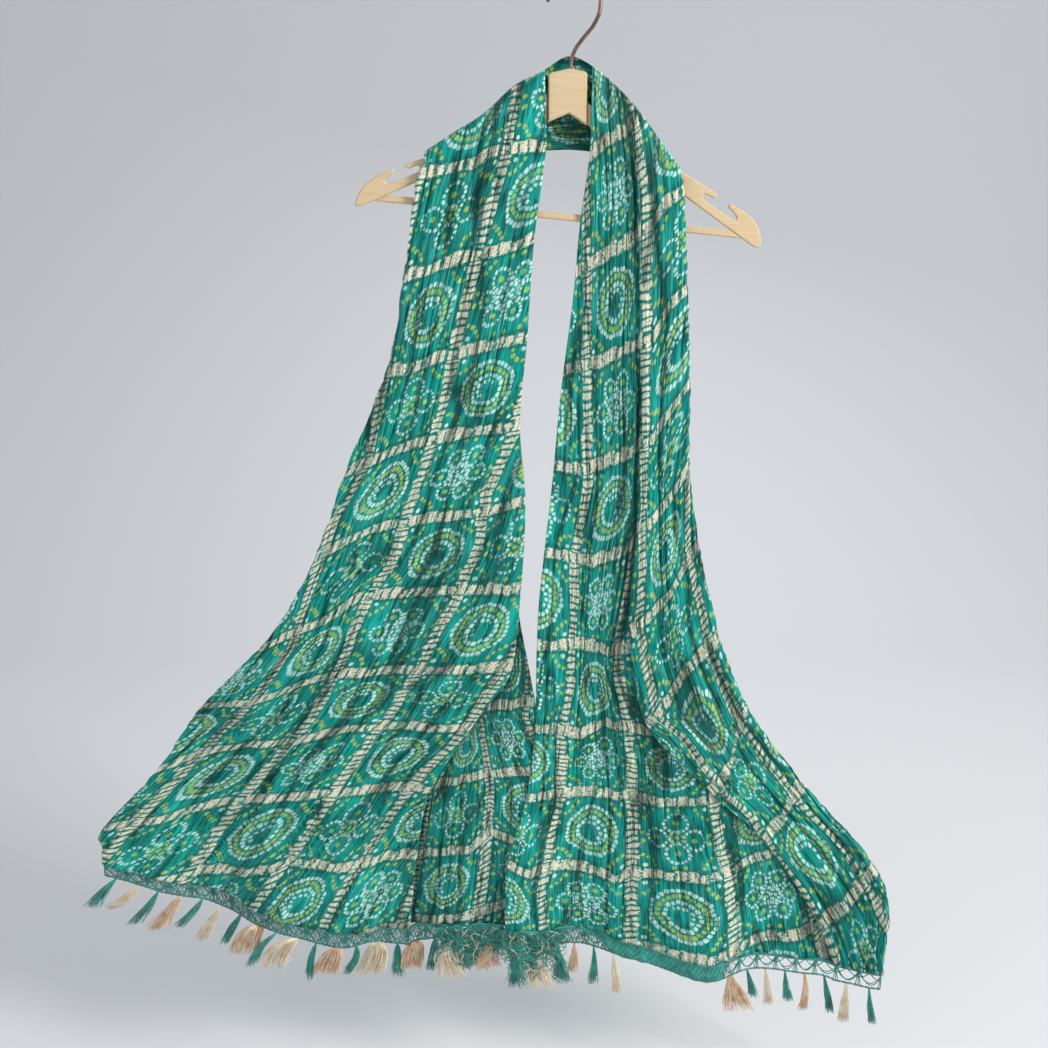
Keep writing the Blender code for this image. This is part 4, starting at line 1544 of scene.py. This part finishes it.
def from_photo(*readings: tuple[int, int]) -> Line:
    """Turn places read off the photo into places on the cloth.

    The cloth hangs upright, d in front of the lens. A reading u pixels right of the photo's middle
    and v pixels below it lies at x = camera x + u d / (f cos t - v sin t) and at
    z = camera z - d tan(t + atan(v / f)), with f the lens in pixels and t the camera's tilt.

    Args:
        readings: Places in the photo's 1048 x 1048 pixels.

    Returns:
        The places' x and z in whole millimetres, which is finer than the readings.
    """
    places = []
    for across, down in readings:
        u, v = across - PHOTO_MIDDLE, down - PHOTO_MIDDLE
        reach = CLOTH_DISTANCE / (LENS_PIXELS * math.cos(CAMERA_TILT) - v * math.sin(CAMERA_TILT))
        dip = CLOTH_DISTANCE * math.tan(CAMERA_TILT + math.atan(v / LENS_PIXELS))
        places.append((round(1000 * (u * reach + CAMERA[0])), round(1000 * (-dip + CAMERA[2]))))
    return tuple(places)


LEFT_FRONT_PRINT = PrintLines(
    lengthwise={
        0: from_photo((436, 100), (422, 156), (405, 246), (386, 369), (369, 459), (335, 520),
            (314, 580), (292, 646), (253, 699), (192, 764), (141, 815), (108, 851)),
        1: from_photo((515, 105), (505, 160), (492, 200), (466, 300), (441, 415), (411, 504),
            (392, 566), (367, 595), (345, 657), (312, 715), (266, 769), (228, 816), (206, 852),
            (178, 890)),
        2: ((15, -180), *from_photo((560, 250), (536, 340), (515, 430), (487, 493), (478, 550),
            (451, 608), (427, 651), (397, 704), (345, 774), (299, 843), (262, 892), (255, 905))),
        3: ((60, -280), *from_photo((600, 430), (560, 520), (535, 590), (521, 632), (503, 669),
            (467, 726), (428, 768), (394, 815), (343, 886), (322, 925))),
        4: ((60, -655), (20, -749), (-30, -820), (-80, -872), (-130, -933), (-180, -1026),
            (-200, -1078)),
    },
    crosswise={
        -1: ((-161, -110), (-104, -100), (-30, -80)),
        0: from_photo((419, 174), (474, 162), (491, 151), (545, 146)),
        1: from_photo((402, 279), (431, 269), (469, 255), (495, 251), (534, 238)),
        2: from_photo((381, 375), (444, 357), (465, 351), (526, 336)),
        3: from_photo((350, 470), (378, 459), (390, 451), (432, 438), (520, 424)),
        4: from_photo((318, 556), (340, 543), (372, 527), (416, 520), (482, 510), (524, 502)),
        5: from_photo((276, 640), (329, 616), (358, 595), (378, 594), (482, 587), (520, 587)),
        6: from_photo((201, 708), (250, 701), (276, 692), (303, 680), (338, 673), (388, 673),
            (476, 667), (507, 665)),
        7: from_photo((162, 767), (200, 756), (250, 742), (300, 738), (344, 727), (467, 726)),
        8: from_photo((110, 822), (156, 819), (213, 806), (246, 797), (324, 789), (430, 789)),
        9: ((-547, -1020), (-455, -1014), *from_photo((248, 871), (289, 855), (345, 863),
            (417, 859))),
        10: ((-547, -1120), (-455, -1112), (-332, -1090), (-265, -1096), (-179, -1088)),
    },
)
LEFT_BACK_PRINT = PrintLines(
    lengthwise={
        4: ((-108, -600), *from_photo((470, 640), (460, 720), (430, 789), (423, 824), (412, 894),
            (406, 938))),
        5: ((-74, -600), *from_photo((500, 600), (479, 716), (490, 785), (486, 843), (483, 875),
            (475, 925))),
        6: ((-40, -600), (-45, -714), (-50, -812), (-10, -899), (-5, -969), (-10, -1078)),
    },
    crosswise={
        6: ((-114, -712), (-85, -705), (-39, -700)),
        7: from_photo((470, 712), (495, 706), (535, 703)),
        8: from_photo((430, 789), (446, 782), (489, 773), (528, 769)),
        9: from_photo((417, 859), (470, 849), (491, 829), (512, 838)),
        10: from_photo((440, 922), (465, 916), (495, 905)),
    },
)
RIGHT_FRONT_PRINT = PrintLines(
    lengthwise={
        1: from_photo((632, 110), (640, 149), (645, 201), (645, 308), (645, 378), (643, 512),
            (640, 601), (638, 622), (643, 652), (651, 685), (657, 716), (682, 735), (703, 763),
            (728, 793), (753, 819), (772, 852), (803, 891), (826, 931), (836, 966)),
        0: ((155, -175), (165, -260), (165, -330), (150, -438), *from_photo((687, 485), (688, 552),
            (698, 591), (712, 657), (740, 721), (763, 758), (791, 793), (811, 816), (847, 852),
            (868, 887), (880, 912)), (412, -1134)),
    },
    crosswise={
        0: from_photo((632, 124), (645, 112)),
        1: ((68, -257), (86, -251), (94, -234), *from_photo((678, 194))),
        2: ((70, -376), (88, -370), (97, -352), (106, -334), *from_photo((687, 288))),
        3: ((72, -487), (90, -481), (107, -450), *from_photo((687, 384))),
        4: ((74, -581), (90, -575), *from_photo((672, 493), (687, 466))),
        5: from_photo((634, 629), (650, 615), (670, 591), (688, 558), (697, 546)),
        6: from_photo((651, 720), (671, 694), (683, 671), (708, 644), (718, 634)),
        7: from_photo((715, 781), (729, 762), (735, 736), (744, 711), (750, 700)),
        8: from_photo((766, 842), (785, 819), (792, 798), (803, 785)),
        9: from_photo((801, 940), (822, 929), (851, 893), (870, 866)),
    },
)
RIGHT_BACK_PRINT = PrintLines(
    lengthwise={
        5: ((-30, -136), (-70, -535), (-80, -725), (-86, -835), (-95, -909), (-112, -1000),
            (-125, -1091)),
        4: from_photo((586, 150), (588, 487), (576, 554), (575, 608), (573, 649), (570, 693),
            (562, 738), (562, 797), (552, 836), (547, 866), (541, 888), (543, 935)),
        3: from_photo((632, 110), (646, 201), (645, 378), (640, 512), (625, 600), (616, 650),
            (618, 683), (629, 727), (633, 765), (631, 796), (633, 846), (632, 945)),
        2: ((140, -136), (150, -414), *from_photo((700, 600), (706, 700), (714, 802), (722, 849),
            (728, 868), (736, 925), (738, 960))),
        1: ((230, -136), (240, -666), (255, -800), (268, -916), (280, -977), (295, -1040),
            (318, -1125)),
    },
    crosswise={
        0: from_photo((585, 160), (599, 148), (632, 124)),
        1: from_photo((578, 270), (601, 259), (616, 250), (644, 232)),
        2: from_photo((567, 369), (600, 363), (642, 342)),
        3: from_photo((557, 466), (587, 472), (626, 455), (643, 443)),
        4: from_photo((549, 552), (570, 558), (593, 564), (631, 547), (643, 526)),
        5: from_photo((538, 646), (580, 646), (614, 652), (634, 648)),
        6: from_photo((538, 727), (578, 738), (605, 727), (650, 733)),
        7: from_photo((527, 793), (573, 796), (630, 797), (664, 802), (710, 794)),
        8: from_photo((507, 859), (530, 872), (547, 866), (617, 883), (632, 875), (707, 872),
            (734, 868), (770, 858)),
        9: ((-74, -1082), (-26, -1102), (80, -1110), (164, -1114), (206, -1113), (251, -1104),
            (289, -1098), (308, -1086), (324, -1059), (341, -1036)),
    },
)
LEFT_CREASES = (
    Crease(((-31, -98), (-72, -123), (-90, -147), (-98, -170), (-103, -215), (-108, -260)), 5 * MM, 4.2 * MM),
    Crease(((-24, -94), (-56, -118), (-72, -150), (-78, -190), (-84, -240)), 4 * MM, 2.6 * MM),
    Crease(((-110, -152), (-124, -185), (-132, -240), (-138, -290)), 4 * MM, 3.0 * MM),
    Crease(((-52, -180), (-60, -240), (-70, -310), (-80, -380)), 3 * MM, 1.8 * MM),
    Crease(((-140, -560), (-160, -620), (-186, -690), (-214, -760)), 6 * MM, 2.6 * MM),
    Crease(((-250, -700), (-290, -780), (-338, -860), (-376, -930)), 7 * MM, 3.0 * MM),
    Crease(((-190, -345), (-205, -420), (-232, -500), (-262, -590), (-290, -650)), 5 * MM, 2.4 * MM),
    Crease(((-176, -300), (-190, -380), (-214, -470), (-244, -560)), 4 * MM, 2.0 * MM),
    Crease(((-120, -300), (-140, -400), (-160, -500)), 4 * MM, -1.6 * MM),
    Crease(((-185, -952), (-190, -978), (-196, -1010)), 6 * MM, 3.0 * MM),
)
RIGHT_CREASES = (
    Crease(((84, -220), (92, -300), (98, -420), (100, -560), (103, -690), (112, -760)), 4 * MM, 2.2 * MM),
    Crease(((112, -520), (118, -590), (132, -650)), 4 * MM, 2.4 * MM),
    Crease(((150, -700), (180, -770), (214, -840), (250, -900)), 5 * MM, 2.4 * MM),
    Crease(((84, -150), (92, -200), (100, -260)), 3 * MM, 2.2 * MM),
)
LEFT_SLANTS = ((-550, -0.75), (-400, -0.60), (-320, -0.35), (-190, -0.10), (-70, 0.05))
RIGHT_SLANTS = ((-74, -0.20), (60, 0.10), (200, 0.18), (380, 0.05))


@dataclass
class Studio:
    """The paper sweep, the lights and the camera."""

    floor_z: float = -1.32
    lens: float = 44.66

    def sweep(self) -> None:
        """Build the backdrop: a floor that curves up into a wall behind, in one sheet."""
        turn = np.linspace(0.0, np.pi / 2, 16)
        flat = np.linspace(-9.0, 1.6, 8)
        y = np.concatenate((flat, 1.6 + 1.2 * np.sin(turn[1:]), (2.8, 2.8)))
        bend = self.floor_z + 1.2 * (1 - np.cos(turn[1:]))
        z = np.concatenate((np.full_like(flat, self.floor_z), bend, (1.5, 4.0)))
        x = np.linspace(-12.0, 12.0, 11)
        points = np.stack([np.column_stack((x, 0 * x + a, 0 * x + b)) for a, b in zip(y, z)])
        mesh = bpy.data.meshes.new("paper_sweep")
        mesh.from_pydata(points.reshape(-1, 3).tolist(), [], grid_faces(*points.shape[:2])[:, ::-1].tolist())
        mesh.materials.append(StudioPaper().build())
        mesh.shade_smooth()
        made = bpy.data.objects.new("paper_sweep", mesh)
        bpy.context.collection.objects.link(made)

    def lamp(self, name: str, place: tuple, aim: tuple, size: float, power: float, tint: str) -> None:
        """Hang a square soft light that points at a place.

        Args:
            name: The light's name.
            place: Where it hangs.
            aim: The place that it points at.
            size: Its side, in metres.
            power: Its power, in watts.
            tint: Its sRGB colour.
        """
        light = bpy.data.lights.new(name, "AREA")
        light.size, light.energy, light.color = size, power, linear(tint)[:3]
        made = bpy.data.objects.new(name, light)
        made.location = place
        gap = np.array(aim) - np.array(place)
        made.rotation_euler = (
            math.atan2(math.hypot(gap[0], gap[1]), -gap[2]),
            0.0,
            math.atan2(gap[1], gap[0]) - math.pi / 2,
        )
        bpy.context.collection.objects.link(made)

    def build(self) -> None:
        """Set up the camera, the sweep, three soft lights and the room's even light."""
        lens = bpy.data.cameras.new("camera")
        lens.lens, lens.sensor_width, lens.clip_start = self.lens, 36.0, 0.05
        camera = bpy.data.objects.new("camera", lens)
        camera.location = CAMERA
        camera.rotation_euler = (math.pi / 2 - CAMERA_TILT, 0.0, 0.0)
        bpy.context.collection.objects.link(camera)
        bpy.context.scene.camera = camera
        self.sweep()
        middle = (-0.08, 0.0, -0.6)
        self.lamp("key_light", (2.1, -1.5, 0.7), middle, 0.8, 74.0, "FFFCF6")
        self.lamp("fill_light", (-2.0, -1.8, 0.1), middle, 1.8, 11.0, "F2F7FF")
        self.lamp("back_light", (0.3, 1.9, 0.9), middle, 1.4, 22.0, "FFFFFF")
        world = bpy.data.worlds.new("room")
        world.use_nodes = True
        world.node_tree.nodes["Background"].inputs["Color"].default_value = linear("DDE0E4")
        world.node_tree.nodes["Background"].inputs["Strength"].default_value = 0.75
        bpy.context.scene.world = world
        bpy.context.scene.view_settings.view_transform = "Standard"


def build_falls(silk: Material) -> tuple[FallCloth, FallCloth, list[Piece]]:
    """Build both falls and the stretch behind the neck.

    Args:
        silk: The stole's material.

    Returns:
        The left fall, the right fall, and the pieces: left, right and neck.
    """
    left = FallCloth(
        name="stole_left", node="left_fall", cuts=LEFT_CUTS, facing=1, front_pleats=10, back_pleats=4,
        stand_off=3.4 * MM, hem_sag=-6.0 * MM, front_print=LEFT_FRONT_PRINT, back_print=LEFT_BACK_PRINT,
        row_shift=0.0, creases=LEFT_CREASES, columns_front=205, columns_back=60, seed=1.0,
    )
    right = FallCloth(
        name="stole_right", node="right_fall", cuts=RIGHT_CUTS, facing=-1, front_pleats=6, back_pleats=9,
        stand_off=0.0, hem_sag=12.0 * MM, front_print=RIGHT_FRONT_PRINT, back_print=RIGHT_BACK_PRINT,
        row_shift=1.0, creases=RIGHT_CREASES, columns_front=90, columns_back=175, seed=21.0,
    )
    return left, right, [left.build(silk), right.build(silk), NeckCloth(NECK_RIDGE).build(silk)]


def main() -> None:
    """Build the stole, its trims and the hanger."""
    logging.basicConfig(level=logging.INFO, format="%(name)s: %(message)s")
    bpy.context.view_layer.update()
    Studio().build()
    silk = BandhaniSilk().build()
    left, right, sheets = build_falls(silk)
    thread = SpunSilk("teal_net_thread", "109185", "06625A").build()
    tints = (
        SpunSilk("teal_tassel_silk", "1FAA9A", "0A7466").build(),
        SpunSilk("cream_tassel_silk", "FAF0DC", "E2CCA6").build(),
        SpunSilk("sea_green_tassel_silk", "1FA493", "0A7468").build(),
        SpunSilk("rust_cream_tassel_silk", "F4E2C6", "D3A070").build(),
    )
    left_trim = HemTrim(
        side="left", fall=left, start=-0.549, stop=-0.078, slants=LEFT_SLANTS, folded_up=None,
        dense=(-0.545, -0.085), broad=(-0.40, -0.17), tangle=(-0.15, -0.07), seed=11, crumple=0.34,
    ).build(thread, tints)
    right_trim = HemTrim(
        side="right", fall=right, start=-0.072, stop=0.378, slants=RIGHT_SLANTS, folded_up=(0.070, 0.190),
        dense=(-0.070, 0.200), broad=(0.19, 0.235), tangle=(-0.08, -0.01), seed=12,
    ).build(thread, tints)
    Hanger().build(LacqueredBeech().build(), BronzedSteelWire().build())


if __name__ == "__main__":
    main()
